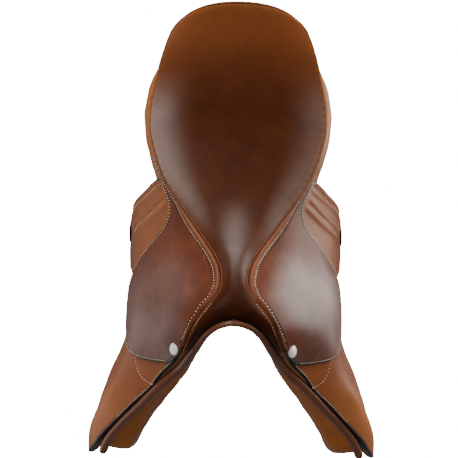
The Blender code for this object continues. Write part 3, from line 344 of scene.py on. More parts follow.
class Recipe:
    """One finish: a node tree and the shader that it feeds."""

    def __init__(self, tree, shader, **constants):
        self.tree = tree
        self.shader = tree.nodes[shader]
        self.set(**{key.replace("_", " ").title().replace("Ior", "IOR"): v for key, v in constants.items()})

    def set(self, **sockets):
        for name, value in sockets.items():
            self.put(self.shader.inputs[name], value)

    def put(self, socket, value):
        if isinstance(value, Value):
            self.tree.links.new(value.socket, socket)
        elif isinstance(value, tuple) and len(value) == 3 and socket.type == "RGBA":
            socket.default_value = (*value, 1.0)
        else:
            socket.default_value = value

    def node(self, kind, settings=None, inputs=None, out=0):
        made = self.tree.nodes.new(kind)
        for key, value in (settings or {}).items():
            if key == "stops":
                ramp = made.color_ramp
                while len(ramp.elements) < len(value):
                    ramp.elements.new(0.5)
                for element, (position, colour) in zip(ramp.elements, value):
                    element.position, element.color = position, (*colour, 1)
            else:
                setattr(made, key, value)
        for key, value in (inputs or {}).items():
            self.put(made.inputs[key], value)
        return Value(self, made.outputs[out])

    def place(self, scale=(1, 1, 1)):
        """Object coordinates, stretched."""
        here = self.node("ShaderNodeTexCoord", out="Object")
        return self.node("ShaderNodeMapping", {}, {"Vector": here, "Scale": scale})

    def noise(self, size_mm, detail=3, roughness=0.6, distortion=0.0, at=None):
        inputs = {"Vector": at or self.place(), "Scale": 1000.0 / size_mm, "Detail": detail}
        inputs.update({"Roughness": roughness, "Distortion": distortion})
        return self.node("ShaderNodeTexNoise", {}, inputs, "Fac")

    def edges(self, size_mm, at=None):
        """Distance from the borders of cells of this size."""
        inputs = {"Vector": at or self.place(), "Scale": 1000.0 / size_mm}
        return self.node("ShaderNodeTexVoronoi", {"feature": "DISTANCE_TO_EDGE"}, inputs, "Distance")

    def ramp(self, value, *stops):
        return self.node("ShaderNodeValToRGB", {"stops": stops}, {"Fac": value}, "Color")

    def mix(self, factor, first, second, blend="MIX"):
        settings = {"data_type": "RGBA", "blend_type": blend}
        return self.node("ShaderNodeMix", settings, {0: factor, 6: first, 7: second}, 2)

    def attribute(self, name):
        return self.node("ShaderNodeAttribute", {"attribute_name": name}, {}, "Fac")

    def bump(self, height, strength, depth_mm):
        inputs = {"Height": height, "Strength": strength, "Distance": depth_mm * MM}
        self.set(Normal=self.node("ShaderNodeBump", {}, inputs, "Normal"))


def surface(name, **constants):
    """A new material's recipe on its Principled shader."""
    material = bpy.data.materials.new(name)
    material.use_nodes = True
    made = Recipe(material.node_tree, "Principled BSDF", **constants)
    made.material = material
    return made


def leather(name, deep, warm, pale, rough, grain, mottle, gloss, sheen=0.12):
    """Smooth tanned leather, deep to warm by its burnish and painted highlight, paler where handled, with
    polish and fine pores.
    """
    made = surface(name, coat_roughness=gloss, specular_ior_level=sheen)
    clouds = made.noise(55)
    blotches = made.noise(14, 4, 0.62, 0.4)
    fibre = made.noise(1.6)
    uneven = (clouds - 0.5) * mottle + (blotches - 0.5) * (0.45 * mottle)
    # The burnish attribute also carries painted highlights: on the seat's rims and along the flap's knee roll
    colour = made.mix((made.attribute("burnish") + uneven).held(), deep, warm)
    handled = (made.attribute("wear") * 0.6 + (blotches - 0.6) * (0.3 * mottle)).held()
    colour = made.mix(handled, colour, pale)
    speck = (fibre - 0.5) * 0.3 + 1.0
    shade = made.node("ShaderNodeCombineColor", {}, {"Red": speck, "Green": speck, "Blue": speck})
    made.set(**{"Base Color": made.mix(1.0, colour, shade, "MULTIPLY")})
    uneven = (clouds - 0.5) * 0.12 + (fibre - 0.5) * 0.1 + (blotches - 0.5) * 0.06
    made.set(Roughness=(uneven + rough).held())
    uneven = (blotches - 0.5) * (0.5 * mottle) + (clouds - 0.5) * (0.6 * mottle)
    made.set(**{"Coat Weight": (made.attribute("polish") * (uneven + 1.0)).held()})
    pores = made.edges(0.9).between(0.0, 0.12)
    creases = made.edges(2.6, made.place((1, 1.3, 1))).between(0.0, 0.08)
    made.bump(pores * 0.6 + creases * 0.3 + fibre * 0.5, grain, 0.04)
    return made.material


def flat_finish(name, colour, rough, spread, size_mm, bump_mm, **more):
    """A plain finish broken up by fine noise."""
    made = surface(name, **more)
    grain = made.noise(size_mm)
    low = tuple(c * (1 - spread) for c in colour)
    high = tuple(min(1.0, c * (1 + spread)) for c in colour)
    made.set(**{"Base Color": made.mix(grain, low, high)})
    made.set(Roughness=((grain - 0.5) * 0.3 + rough).held())
    made.bump(grain, 0.5, bump_mm)
    return made.material


# Deep, warm and pale colour, then roughness, grain, mottle, gloss and sheen
LEATHERS = {
    "seat": ((0.027, 0.006, 0.0021), (0.162, 0.048, 0.0145), (0.32, 0.115, 0.03), 0.38, 0.2, 0.24, 0.4, 0.05),
    "skirt": ((0.050, 0.0115, 0.0048), (0.210, 0.054, 0.0180), (0.34, 0.110, 0.034), 0.36, 0.2, 0.7, 0.46),
    "flap": ((0.108, 0.029, 0.0105), (0.340, 0.112, 0.0340), (0.42, 0.17, 0.06), 0.42, 0.25, 0.4, 0.30),
    "panel": ((0.170, 0.050, 0.0095), (0.460, 0.155, 0.0310), (0.50, 0.20, 0.06), 0.46, 0.4, 0.4, 0.3),
    "roll": ((0.030, 0.0085, 0.0042), (0.140, 0.038, 0.0150), (0.20, 0.07, 0.03), 0.38, 0.25, 0.3, 0.3),
    "strap": ((0.030, 0.010, 0.0045), (0.085, 0.030, 0.012), (0.17, 0.07, 0.03), 0.42, 0.4, 0.4, 0.3),
}
# Name, colour, roughness, spread, grain size and bump
FLAT = {
    # Real painted edges; the same black also makes the painted shade of the welt tail and the arch strip
    "edge": ("edge paint", (0.009, 0.007, 0.0065), 0.38, 0.3, 3.0, 0.04),
    "suede": ("flesh side", (0.16, 0.08, 0.04), 0.9, 0.25, 1.2, 0.25),
    "thread": ("waxed thread", (0.80, 0.66, 0.44), 0.6, 0.25, 0.8, 0.08),
    "pewter": ("pewter", (0.80, 0.79, 0.75), 0.30, 0.03, 2.5, 0.005),
    "steel": ("forged steel", (0.42, 0.42, 0.41), 0.38, 0.15, 3.0, 0.03),
    "foam": ("latex foam", (0.66, 0.60, 0.44), 0.92, 0.15, 1.6, 0.3),
}
FLAT_MORE = {"edge": {"specular_ior_level": 0.45}, "pewter": {"metallic": 0.1}, "steel": {"metallic": 1.0}}
FINISH = {key: leather(key + " leather", *values) for key, values in LEATHERS.items()}
for key, values in FLAT.items():
    FINISH[key] = flat_finish(*values, **FLAT_MORE.get(key, {}))


def bands(made, way, scale, distortion):
    settings = {"bands_direction": way}
    inputs = {"Vector": made.place(), "Scale": scale, "Distortion": distortion}
    return made.node("ShaderNodeTexWave", settings, inputs, "Fac")


def web_finish():
    made = surface("woven web")
    weave = bands(made, "Y", 160.0, 0.6) * bands(made, "Z", 160.0, 0.6)
    made.set(**{"Base Color": made.mix(weave, (0.34, 0.29, 0.20), (0.62, 0.56, 0.43))})
    made.set(Roughness=weave * -0.1 + 0.9)
    made.bump(weave, 0.8, 0.3)
    return made.material


def wood_finish():
    made = surface("laminated beech", coat_weight=0.15, coat_roughness=0.4)
    grain = made.noise(1.2, at=made.place((1, 0.08, 1)))
    tone = (bands(made, "Z", 110.0, 1.2) * 0.5 + grain * 0.5).held()
    made.set(**{"Base Color": made.mix(tone, (0.33, 0.19, 0.085), (0.55, 0.36, 0.18))})
    made.set(Roughness=grain * 0.2 + 0.45)
    made.bump(grain, 0.4, 0.1)
    return made.material


FINISH["web"] = web_finish()
FINISH["wood"] = wood_finish()


# Meshes


def paint(mesh, **attributes):
    """The point attributes that the leather finishes read."""
    for key, values in attributes.items():
        layer = mesh.attributes.new(key, "FLOAT", "POINT")
        values = np.broadcast_to(values, len(mesh.vertices))
        layer.data.foreach_set("value", np.ascontiguousarray(values, np.float32))


def finished(name, points, faces, finishes, side=1, slots=None, burnish=0, wear=0, levels=0, polish=0.3):
    """One smooth piece in metres at the origin, with its finishes and its painted attributes."""
    points = np.asarray(points, float) * np.array([side, 1, 1]) * MM
    mesh = bpy.data.meshes.new(name)
    mesh.from_pydata(points.tolist(), [], [tuple(map(int, face)) for face in faces])
    for key in finishes:
        mesh.materials.append(FINISH[key])
    if slots is not None:
        mesh.polygons.foreach_set("material_index", np.asarray(slots, np.int32))
    paint(mesh, burnish=burnish, wear=wear, polish=polish)
    mesh.validate()
    shell = bmesh.new()
    shell.from_mesh(mesh)
    bmesh.ops.recalc_face_normals(shell, faces=shell.faces)
    shell.to_mesh(mesh)
    shell.free()
    mesh.shade_smooth()
    made = bpy.data.objects.new(name, mesh)
    bpy.context.scene.collection.objects.link(made)
    if levels:
        step = made.modifiers.new("smooth form", "SUBSURF")
        step.levels = step.render_levels = levels
    return made


def belongs(made, body, slot, *nodes):
    """The body that carries a piece and the solids that it stands for, which it hides; the slot is not used.
    """
    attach(made, body)
    if nodes:
        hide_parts(*nodes)


def grid_faces(down, across, start=0, flip=False):
    faces = []
    for i in range(down - 1):
        for j in range(across - 1):
            a = start + i * across + j
            quad = (a, a + 1, a + across + 1, a + across)
            faces.append(quad[::-1] if flip else quad)
    return faces


def border(down, across):
    """Indices round a grid: along the first row, down the last column, and back."""
    top = list(range(across))
    rear = [i * across + across - 1 for i in range(1, down)]
    low = [(down - 1) * across + j for j in range(across - 2, -1, -1)]
    front = [i * across for i in range(down - 2, 0, -1)]
    return top + rear + low + front


def fill(loop, across, down, rows=None):
    """Grid inside a closed line that starts at the top front corner and runs rearward first."""
    top = loop[:across]
    rear = loop[across - 1:across + down - 1]
    low = loop[across + down - 2:2 * across + down - 2][::-1]
    front = np.concatenate([loop[2 * across + down - 3:], loop[:1]])[::-1]
    s = (np.linspace(0, 1, down) if rows is None else rows)[:, None, None]
    t = np.linspace(0, 1, across)[None, :, None]
    corners = top[0] * (1 - s) * (1 - t) + top[-1] * (1 - s) * t + low[0] * s * (1 - t) + low[-1] * s * t
    return top[None] * (1 - s) + low[None] * s + front[:, None] * (1 - t) + rear[:, None] * t - corners


def joined(top, rear, low, front):
    """Closed line through four border lines; all run rearward or downward."""
    return np.concatenate([top, rear[1:], low[::-1][1:], front[::-1][1:-1]])


def loop_of(top, rear, low, front, across, down, rows=None):
    """Closed (y, z) line through four border lines, with even steps or steps by rows."""
    lines = []
    for line, count in ((top, across), (rear, down), (low, across), (front, down)):
        line = path(line, 400)
        run = distance_along(line)
        share = rows if rows is not None and count == down else np.linspace(0, 1, count)
        lines.append(places_at(share * run[-1], run, line))
    return joined(*lines)


def inset(loop, room):
    """The closed (y, z) line this far inside another, measured on the leather."""
    place = skin(loop[:, 0], loop[:, 1])
    normal = skin_normal(loop[:, 0], loop[:, 1])
    ahead = unit(np.roll(place, -1, axis=0) - place)
    behind = unit(place - np.roll(place, 1, axis=0))
    inward = unit(unit(np.cross(normal, ahead)) + unit(np.cross(normal, behind)))
    inward *= np.sign(np.sum(inward * (place.mean(axis=0) - place)))
    wide = np.clip(np.sum(inward * unit(np.cross(normal, ahead)), axis=1, keepdims=True), -1, 1)
    moved = place + inward * room / np.maximum(np.abs(wide), 0.6)
    if room < 1.5:
        return moved[:, 1:]
    # Close to a corner the moved line would double back: those points are spread over the straight run
    outline = path(np.concatenate([place, place[:1]]), 1600, straight=True)
    kept = np.flatnonzero(nearest(moved, outline) > 0.93 * room)
    spots, whole = np.arange(len(loop)), len(loop)
    return np.stack([np.interp(spots, kept, column[kept], period=whole) for column in moved[:, 1:].T], axis=1)


def nearest(points, line):
    """Distance from each point to a line of points."""
    return np.sqrt(((points[:, None, :] - line[None, :, :]) ** 2).sum(axis=2)).min(axis=1)


def body_between(face, layers, back, down, across, slot_of):
    """Points, faces, slots and rings of a closed body: a grid, layers of points round its rim, and a back."""
    ring = border(down, across)
    starts = len(face) + len(ring) * np.arange(len(layers) + 1)
    rings = [ring] + [list(range(k, k + len(ring))) for k in starts[:-1]] + [[starts[-1] + k for k in ring]]
    faces = grid_faces(down, across)
    slots = [0] * len(faces)
    for number, (first, second) in enumerate(zip(rings, rings[1:])):
        for k in range(len(ring)):
            n = (k + 1) % len(ring)
            faces.append((first[k], second[k], second[n], first[n]))
            slots.append(slot_of(number, k))
    more = grid_faces(down, across, starts[-1], True)
    return np.concatenate([face, *layers, back]), faces + more, slots + [2] * len(more), rings


def outward(ring, normal):
    """Directions that lead out of a closed ring, square to its normals."""
    ahead = unit(np.roll(ring, -1, axis=0) - np.roll(ring, 1, axis=0))
    out = unit(np.cross(ahead, normal))
    return out * np.sign(np.sum(out * (ring - ring.mean(axis=0))))


LEATHER_RINGS = 3  # rings of a sheet's rim in the leather's own colour, before the edge paint
CUT_EDGE = ("edge", "suede")  # painted edge and flesh side


def sheet(name, loop, across, down, thick, finish, side, depth=None, rows=None, stitched=None, bare=0,
          curl=0.9, burnish=0.5, wear=12.0, levels=1, polish=0.1, worn=None):
    """A leather sheet on the outer form: a smooth face, a stitch groove, a rounded painted edge and a back.

    The first bare segments of the outline keep the leather's own colour, as where a seam takes them in.
    """
    depth = depth or (lambda y, z: 0.0 * y)
    stitched = np.zeros(len(loop)) if stitched is None else stitched
    groove = 0.5 * stitched
    # How far inside the outline each ring lies, and how much deeper than the face
    rim = [(3.8, 0), (3.2, 0.3 * groove), (2.85, groove), (2.5, 0.3 * groove), (1.9, 0), (1.2, 0.06)]
    rim += [(0.5, 0.22), (0.12, 0.55), (0, curl), (0, thick - curl), (0.12, thick - 0.45)]
    rim += [(0.5, thick - 0.12), (1.2, thick)]
    y, z = fill(inset(loop, 4.6), across, down, rows).reshape(-1, 2).T
    near = depth(y, z)
    layers = []
    for room, deeper in rim:
        y_rim, z_rim = inset(loop, room).T if room else loop.T
        layers.append(skin(y_rim, z_rim, depth(y_rim, z_rim) + deeper))

    def slot_of(number, k):
        return 2 if number == len(rim) else 0 if number < LEATHER_RINGS or k < bare else 1

    face, back = skin(y, z, near), skin(y, z, near + thick)
    points, faces, slots, rings = body_between(face, layers, back, down, across, slot_of)
    tone = np.full(len(points), float(burnish)) if np.isscalar(burnish) else burnish(points)
    for ring in rings[2:5]:
        tone[ring] -= 0.45 * stitched
    gloss = polish if np.isscalar(polish) else polish(points)
    if worn:
        worn = worn(points)
    else:
        worn = 0.6 * np.clip(1 - nearest(points, skin(*loop.T, depth(*loop.T))) / wear, 0, 1)
    return finished(name, points, faces, [finish, *CUT_EDGE], side, slots, tone, worn, levels, gloss)


def plate(name, outer, inner, finish, side=1, burnish=0.5, wear=0.2, proud=0.35):
    """A closed plate between two grids of points, with a rounded edge; a strap's edge and back differ."""
    down, across = outer.shape[:2]
    outer, inner = outer.reshape(-1, 3), inner.reshape(-1, 3)
    ring = border(down, across)
    high, low = outer[ring], inner[ring]
    out = outward(high, unit(high - low))
    layers = []
    for share in (0.12, 0.35, 0.65, 0.88):
        layers.append(high * (1 - share) + low * share + out * proud * math.sin(math.pi * share))
    points, faces, slots, _ = body_between(outer, layers, inner, down, across, lambda number, k: 1)
    finishes = [finish, *CUT_EDGE] if finish == "strap" else [finish] * 3
    return finished(name, points, faces, finishes, side, slots, burnish, wear)


def one_stitch():
    """Corners and faces of a single stitch, a metre long and wide, modelled once for every seam."""
    bpy.ops.mesh.primitive_uv_sphere_add(segments=6, ring_count=5, radius=0.5, rotation=(0, math.pi / 2, 0))
    bpy.ops.object.transform_apply(rotation=True)
    made = bpy.context.object
    points = np.array([vert.co for vert in made.data.vertices])
    faces = [tuple(face.vertices) for face in made.data.polygons]
    bpy.data.objects.remove(made)
    return points, faces


STITCH = one_stitch()
STITCH_ROOM = 2.3  # from a leather's edge to its row of stitches
STITCH_SLANT = 0.12


def stitch_row(name, line, normals, side, pitch=4.0, long=1.9, wide=1.05, sink=0.0):
    """Thread stitches laid end to end along a line on the leather, each a little slanted."""
    run = distance_along(line)
    count = max(2, int(run[-1] / pitch))
    at = (np.arange(count) + 0.5) * run[-1] / count
    place = places_at(at, run, line)
    way = unit(places_at(at + 0.5, run, line) - places_at(at - 0.5, run, line))
    up = unit(places_at(at, run, normals))
    across = unit(np.cross(up, way))
    way = way * math.cos(STITCH_SLANT) + across * math.sin(STITCH_SLANT)
    across = np.cross(up, way)
    points, faces = STITCH
    copies = (place - up * sink)[:, None] + points[None, :, :1] * long * way[:, None]
    copies = copies + points[None, :, 1:2] * wide * across[:, None] + points[None, :, 2:] * wide * up[:, None]
    every = [tuple(k + n * len(points) for k in face) for n in range(count) for face in faces]
    return finished(name, copies.reshape(-1, 3), every, ["thread"], side)


def sew_and_bend(made, label, side, title, rows, depth, start, end):
    """Stitch rows on a leather, by name, line and lift; the leather and its rows are baked in place."""
    pieces = [made]
    for name, line, lift in rows:
        place, up = skin(*line.T, depth(*line.T)), skin_normal(*line.T)
        row = "%s_%s_stitching_%s" % (title, name, label)
        pieces.append(stitch_row(row, place, up, side, sink=-lift))
    for piece in pieces:
        title + "_leather"
        "%s_%s" % (title, label)
        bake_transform(piece)
        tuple(start)
        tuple(end)


def tube(points, radius, sides):
    """Points and faces of a closed round tube along a line; radius may change along it."""
    points = np.asarray(points, float)
    radius = np.broadcast_to(radius, len(points))
    ahead = unit(np.gradient(points, axis=0))
    normal = np.cross(ahead[0], (0.3, 0.5, 0.8))
    turn = np.linspace(0, 2 * math.pi, sides, endpoint=False)[:, None]
    rings = []
    for place, way, size in zip(points, ahead, radius):
        normal = unit(normal - way * np.dot(normal, way))
        rings.append(place + size * (np.cos(turn) * normal + np.sin(turn) * np.cross(way, normal)))
    return loft(np.array(rings))


def loft(rings):
    """Points and faces of the closed body through rings of equal count."""
    count, sides = rings.shape[:2]
    faces = []
    for i in range(count - 1):
        for j in range(sides):
            k = (j + 1) % sides
            faces.append((i * sides + j, i * sides + k, (i + 1) * sides + k, (i + 1) * sides + j))
    points = np.concatenate([rings.reshape(-1, 3), rings[0].mean(axis=0)[None], rings[-1].mean(axis=0)[None]])
    for j in range(sides):
        k = (j + 1) % sides
        last = (count - 1) * sides
        faces += [(k, j, count * sides), (last + j, last + k, count * sides + 1)]
    return points, faces


# The camera


def make_camera():
    elevation = math.radians(56)
    back = Vector((0, -math.cos(elevation), math.sin(elevation)))
    data = bpy.data.cameras.new("photo view")
    data.lens = 56.6
    data.sensor_width = 36.0
    data.shift_x, data.shift_y = -7 / 458, -13 / 458
    camera = bpy.data.objects.new("photo view", data)
    camera.location = back * 0.95
    camera.rotation_euler = (-back).to_track_quat("-Z", "Y").to_euler()
    camera.rotation_euler.rotate_axis("Z", math.radians(1.2))
    bpy.context.scene.collection.objects.link(camera)
    bpy.context.scene.camera = camera


# Azimuth from straight behind towards the picture's right, elevation, width and height in degrees, radiance
SOFTBOXES = {
    "back softbox": (0, 28, 42, 18, 6.4),
    "right softbox": (66, 0, 48, 54, 4.9),
    "right back softbox": (42, 42, 28, 20, 3.4),
    "right wing": (98, 60, 40, 24, 2.4),
    "left softbox": (-52, 54, 48, 30, 5.4),
    "left wing": (-100, 62, 44, 26, 2.8),
    "left side box": (-62, -4, 34, 46, 0.5),
    "left low softbox": (-102, -22, 46, 34, 1.3),
    "front fill": (-165, 30, 60, 36, 1.0),
}
SOFTBOX_DISTANCE = 2.0
# From straight down to straight up
SKY_GREYS = ((0.0, 0.20), (0.5, 0.24), (0.6, 0.16), (0.75, 0.07), (1.0, 0.05))


def make_studio():
    """A white paper floor and cove that only the camera sees, softboxes, and dim light from all round."""
    paper = surface("white paper", roughness=0.9)
    paper.set(**{"Base Color": (0.92, 0.92, 0.92), "Emission Color": (1, 1, 1), "Emission Strength": 24.0})
    bpy.ops.mesh.primitive_plane_add(size=60, location=(0, 0, CAD_BOX[0][2] - 0.001))
    floor = bpy.context.object
    bpy.ops.mesh.primitive_uv_sphere_add(radius=25, segments=32, ring_count=16)
    for stage, name in ((floor, "floor"), (bpy.context.object, "cove")):
        stage.name = name
        stage.data.materials.append(paper.material)
        stage.visible_diffuse = stage.visible_glossy = stage.visible_shadow = False
    for name, (azimuth, elevation, wide, high, radiance) in SOFTBOXES.items():
        turn, lift = math.radians(azimuth), math.radians(elevation)
        way = Vector((math.sin(turn) * math.cos(lift), math.cos(turn) * math.cos(lift), math.sin(lift)))
        data = bpy.data.lights.new(name, "AREA")
        data.shape = "RECTANGLE"
        data.color = (1.0, 0.945, 0.88)
        data.size, data.size_y = (2 * SOFTBOX_DISTANCE * math.tan(math.radians(a / 2)) for a in (wide, high))
        data.energy = radiance * math.pi * data.size * data.size_y
        light = bpy.data.objects.new(name, data)
        light.location = way * SOFTBOX_DISTANCE
        light.rotation_euler = (-way).to_track_quat("-Z", "Y").to_euler()
        bpy.context.scene.collection.objects.link(light)
    world = bpy.data.worlds.new("studio")
    world.use_nodes = True
    bpy.context.scene.world = world
    sky = Recipe(world.node_tree, "Background", strength=1.0)
    way = sky.node("ShaderNodeTexCoord", out="Generated")
    height = sky.node("ShaderNodeSeparateXYZ", {}, {"Vector": way}, "Z")
    sky.set(Color=sky.ramp(height * 0.5 + 0.5, *((at, (grey,) * 3) for at, grey in SKY_GREYS)))


# Seat


def seat_across(points):
    """x, y and the share of the way from the ridge to the welt, for points of the seat."""
    x, y = points[:, 0], points[:, 1]
    return x, y, np.clip(np.abs(x) / np.maximum(welt_at(y)[0], 10), 0, 1)


def seat_tone_and_highlight(points):
    """Orange tan at the cantle's rim and corners, deep brown in the middle and towards the waist; lighter at
    both rims of the seat, partly a painted highlight.
    """
    _, y, across = seat_across(points)
    rear, head = ease((y - 60) / 140), ease((-150 - y) / 40)
    # The across term lightens both rims: partly the leather's own tone, partly a painted highlight where they
    # catch the side lights
    tone = 0.13 + 0.50 * across**3 * (0.45 + 0.55 * rear) + 0.60 * rear**2.4 - 0.16 * head
    return np.clip(tone, 0, 1)


def seat_polish(points):
    """Shiny where a rider slides: both rims of the seat and the ridge of the waist."""
    x, y, across = seat_across(points)
    rims = ease((across - 0.5) / 0.4) * ease((y + 110) / 60) * ease((150 - y) / 60)
    ridge = bell(x, 15) * ease((y + 172) / 60) * ease((-25 - y) / 70)
    return np.clip(0.8 * rims + ridge, 0, 1)


APRON_LIP = 3.6  # how far the seat leather turns down behind the roll at the arch
APRON_REACH = 3.4  # how far its middle comes down over the roll


def apron_line(u, v):
    """Line v moved forward near the arch, so that the seat leather covers the roll's seam."""
    inner, step = np.clip(u, -0.999, 0.999), 0.2
    ahead = seat_point(inner, np.zeros_like(u)) - seat_point(inner, np.full_like(u, step))
    pace = np.linalg.norm(ahead, axis=-1) / step
    reach = APRON_REACH * np.sin(np.pi * np.clip(np.abs(u), 0, 1)) ** 0.8
    return v - reach / pace * np.clip(1 - v, 0, 1) ** 2


def make_seat():
    rows = np.concatenate([np.linspace(0, 4, 33), np.linspace(4.1, LAST_LINE - 0.4, 92)])
    across = np.sin(np.linspace(-1, 1, 65) * math.pi / 2 * 0.9) / math.sin(math.pi / 2 * 0.9)
    u, v = np.meshgrid(across, rows)
    u = u * rim_inset(v.ravel(), CORD_RADIUS + SEAM_ROOM).reshape(v.shape)
    v = apron_line(u, v)
    down, wide = v.shape
    ring = border(down, wide)
    rim_u, rim_v = u.ravel()[ring], v.ravel()[ring]
    base = seat_point(rim_u, rim_v)
    normal = unit(base - seat_point(rim_u, rim_v, 1.0))
    out = outward(base, normal)
    lip = np.where(rim_v < 0.01, APRON_LIP, 0.0)[:, None]
    thick = SEAT_LEATHER
    turned = ((0.25, 0.08), (0.55, 0.35), (0.7, 0.8), (0.6, thick - 0.4), (0.3, thick - 0.1))
    layers = []
    for share, (proud, deep) in enumerate(turned):
        layers.append(base + out * proud - normal * (deep + lip * (share + 1) / len(turned)))
    face, back = seat_point(u, v).reshape(-1, 3), seat_point(u, v, thick).reshape(-1, 3)
    points, faces, slots, _ = body_between(face, layers, back, down, wide, lambda number, k: 0)
    off = nearest(points, base[::2])
    worn = 0.5 * np.clip(1 - off / 6, 0, 1) * ease((points[:, 1] + 60) / 60)
    finishes, tone = ["seat", "roll", "suede"], seat_tone_and_highlight(points)
    seat = finished("seat", points, faces, finishes, 1, slots, tone, worn, 1, seat_polish(points))
    belongs(seat, "saddle", "seat_leather", "seat_cover")
    line = np.linspace(0.5, 3.3, 120)
    room = rim_inset(line, 4.2)
    place = seat_point(room, line)
    up = place - seat_point(room, line, 1.0)
    for label, side in SIDES.items():
        thread = stitch_row("seat_stitching_" + label, place, up, side, 3.4, 1.8, 0.6)
        belongs(thread, "saddle", "seat_leather")


def rim_path(count):
    lines = np.linspace(0, LAST_LINE - 0.4, 160)
    left = seat_surface(np.ones_like(lines), lines)
    bend = np.cos(np.linspace(0, math.pi, 61))[1:-1]
    back = seat_surface(bend, np.full_like(bend, LAST_LINE))
    return path(np.concatenate([left, back, left[::-1] * np.array([-1, 1, 1])]), count, straight=True)


def make_welt():
    points, faces = tube(rim_path(420), CORD_RADIUS, 10)
    rear = ease((points[:, 1] - 20) / 130)
    tone, worn = 0.35 + 0.65 * rear, 0.3 + 1.2 * rear
    welt = finished("seat_welt_cord", points, faces, ["seat"], 1, None, tone, worn, 1, 0.2)
    belongs(welt, "saddle", "seat_leather", "seat_welt")


def make_welt_tail():
    """The leather tail that the welt is sewn on by, under the edges of the seat and the skirt; its black is
    painted shade for the gap there.
    """
    lines = np.linspace(0.7, 12.9, 150)
    under = welt_border(lines)
    way = unit(np.gradient(under, axis=0))
    under = under + np.stack([way[:, 1], -way[:, 0]], axis=1) * 2.2
    rim, reach = rim_inset(lines, 0.6), 6
    near = seat_point(rim_inset(lines, 5.0), lines, SEAT_LEATHER + 0.5)
    middle = seat_point(rim, lines, SEAT_LEATHER + 1.4)
    far = skin(*under.T, SKIRT_LEATHER + 0.5)
    off = np.linalg.norm(far - middle, axis=1) > reach
    far = np.where(off[:, None], middle + unit(far - middle) * reach, far)
    sink = unit(middle - seat_point(rim, lines, SEAT_LEATHER))
    outer = np.stack([near, middle, far])
    for label, side in SIDES.items():
        # Black edge paint: painted shade in the gap under the edges of the seat and the skirt
        tail = plate("welt_tail_" + label, outer, outer + sink, "edge", side)
        belongs(tail, "saddle", "seat_leather")


# Skirts


def welt_border(lines):
    """(y, z) line just under the welt, for the top of the skirts."""
    edge = seat_surface(np.ones_like(lines), lines)
    way = unit(np.gradient(edge[:, 1:], axis=0))
    steps = np.arange(0.1, 5.0, 0.05)
    found = []
    for place, (along_y, along_z) in zip(edge, way):
        y, z = place[1] + steps * along_z, place[2] - steps * along_y
        off = np.stack([side_width(y, z), y, z], axis=1) - place
        far = np.linalg.norm(off, axis=1) > CORD_RADIUS + SEAM_ROOM
        pick = int(np.argmax(far)) if far.any() else len(steps) - 1
        found.append((y[pick], z[pick]))
    return np.array(found)


SKIRT_LOW = (
    (-214, 16), (-205, 0), (-188, -20), (-165, -28), (-131, -31), (-98, -25), (-75, -10), (-63, 10),
    (-55.5, 30), (-50, 45), (-39, 57), (-26, 63.2), (-8, 64.2), (5, 64.5), (40, 64), (75, 67), (99, 74),
)
# Where the skirt's narrow rear strip starts, and its share of the stations
NARROW_Y, NARROW_SHARE = -26, 0.72
# The skirt's hinge: its line, the way that the skirt hangs from it, a point on it, and where the bend lies
SKIRT_AXIS, SKIRT_FALL, SKIRT_HINGE = (6.0, 190, 27), (0.62, 0, -0.78), (84.0, -205, 46)
SKIRT_BEND = (3, 17)
SKIRT_ACROSS, SKIRT_DOWN = 150, 66


def skirt_loop():
    """Outline of the skirt, with matching stations along the welt and the free edge."""
    low, welt = path(SKIRT_LOW, 800), welt_border(np.linspace(0.5, 13.02, 400))
    run, welt_run = distance_along(low), distance_along(welt)
    narrow_low = run[np.argmin(np.abs(low[:, 0] - NARROW_Y) + 999 * (low[:, 1] < 60))]
    narrow_welt = np.interp(NARROW_Y, welt[:, 0], welt_run)
    lines = []
    for line, far, narrow in ((welt, welt_run, narrow_welt), (low, run, narrow_low)):
        at = np.interp(np.linspace(0, 1, SKIRT_ACROSS), [0, NARROW_SHARE, 1], [0, narrow, far[-1]])
        lines.append(places_at(at, far, line))
    top, bottom = lines
    rear, front = (path((top[end], bottom[end]), SKIRT_DOWN) for end in (-1, 0))
    return joined(top, rear, bottom, front)


def seam_band(y):
    """Width of the raised band between the welt and its stitching: wide at the waist, narrow at both ends."""
    return 3.0 + 4.6 * ease((-12 - y) / 62) - 2.0 * ease((-178 - y) / 30)


BAND_RISE = 2.1
CREASE = 0.8


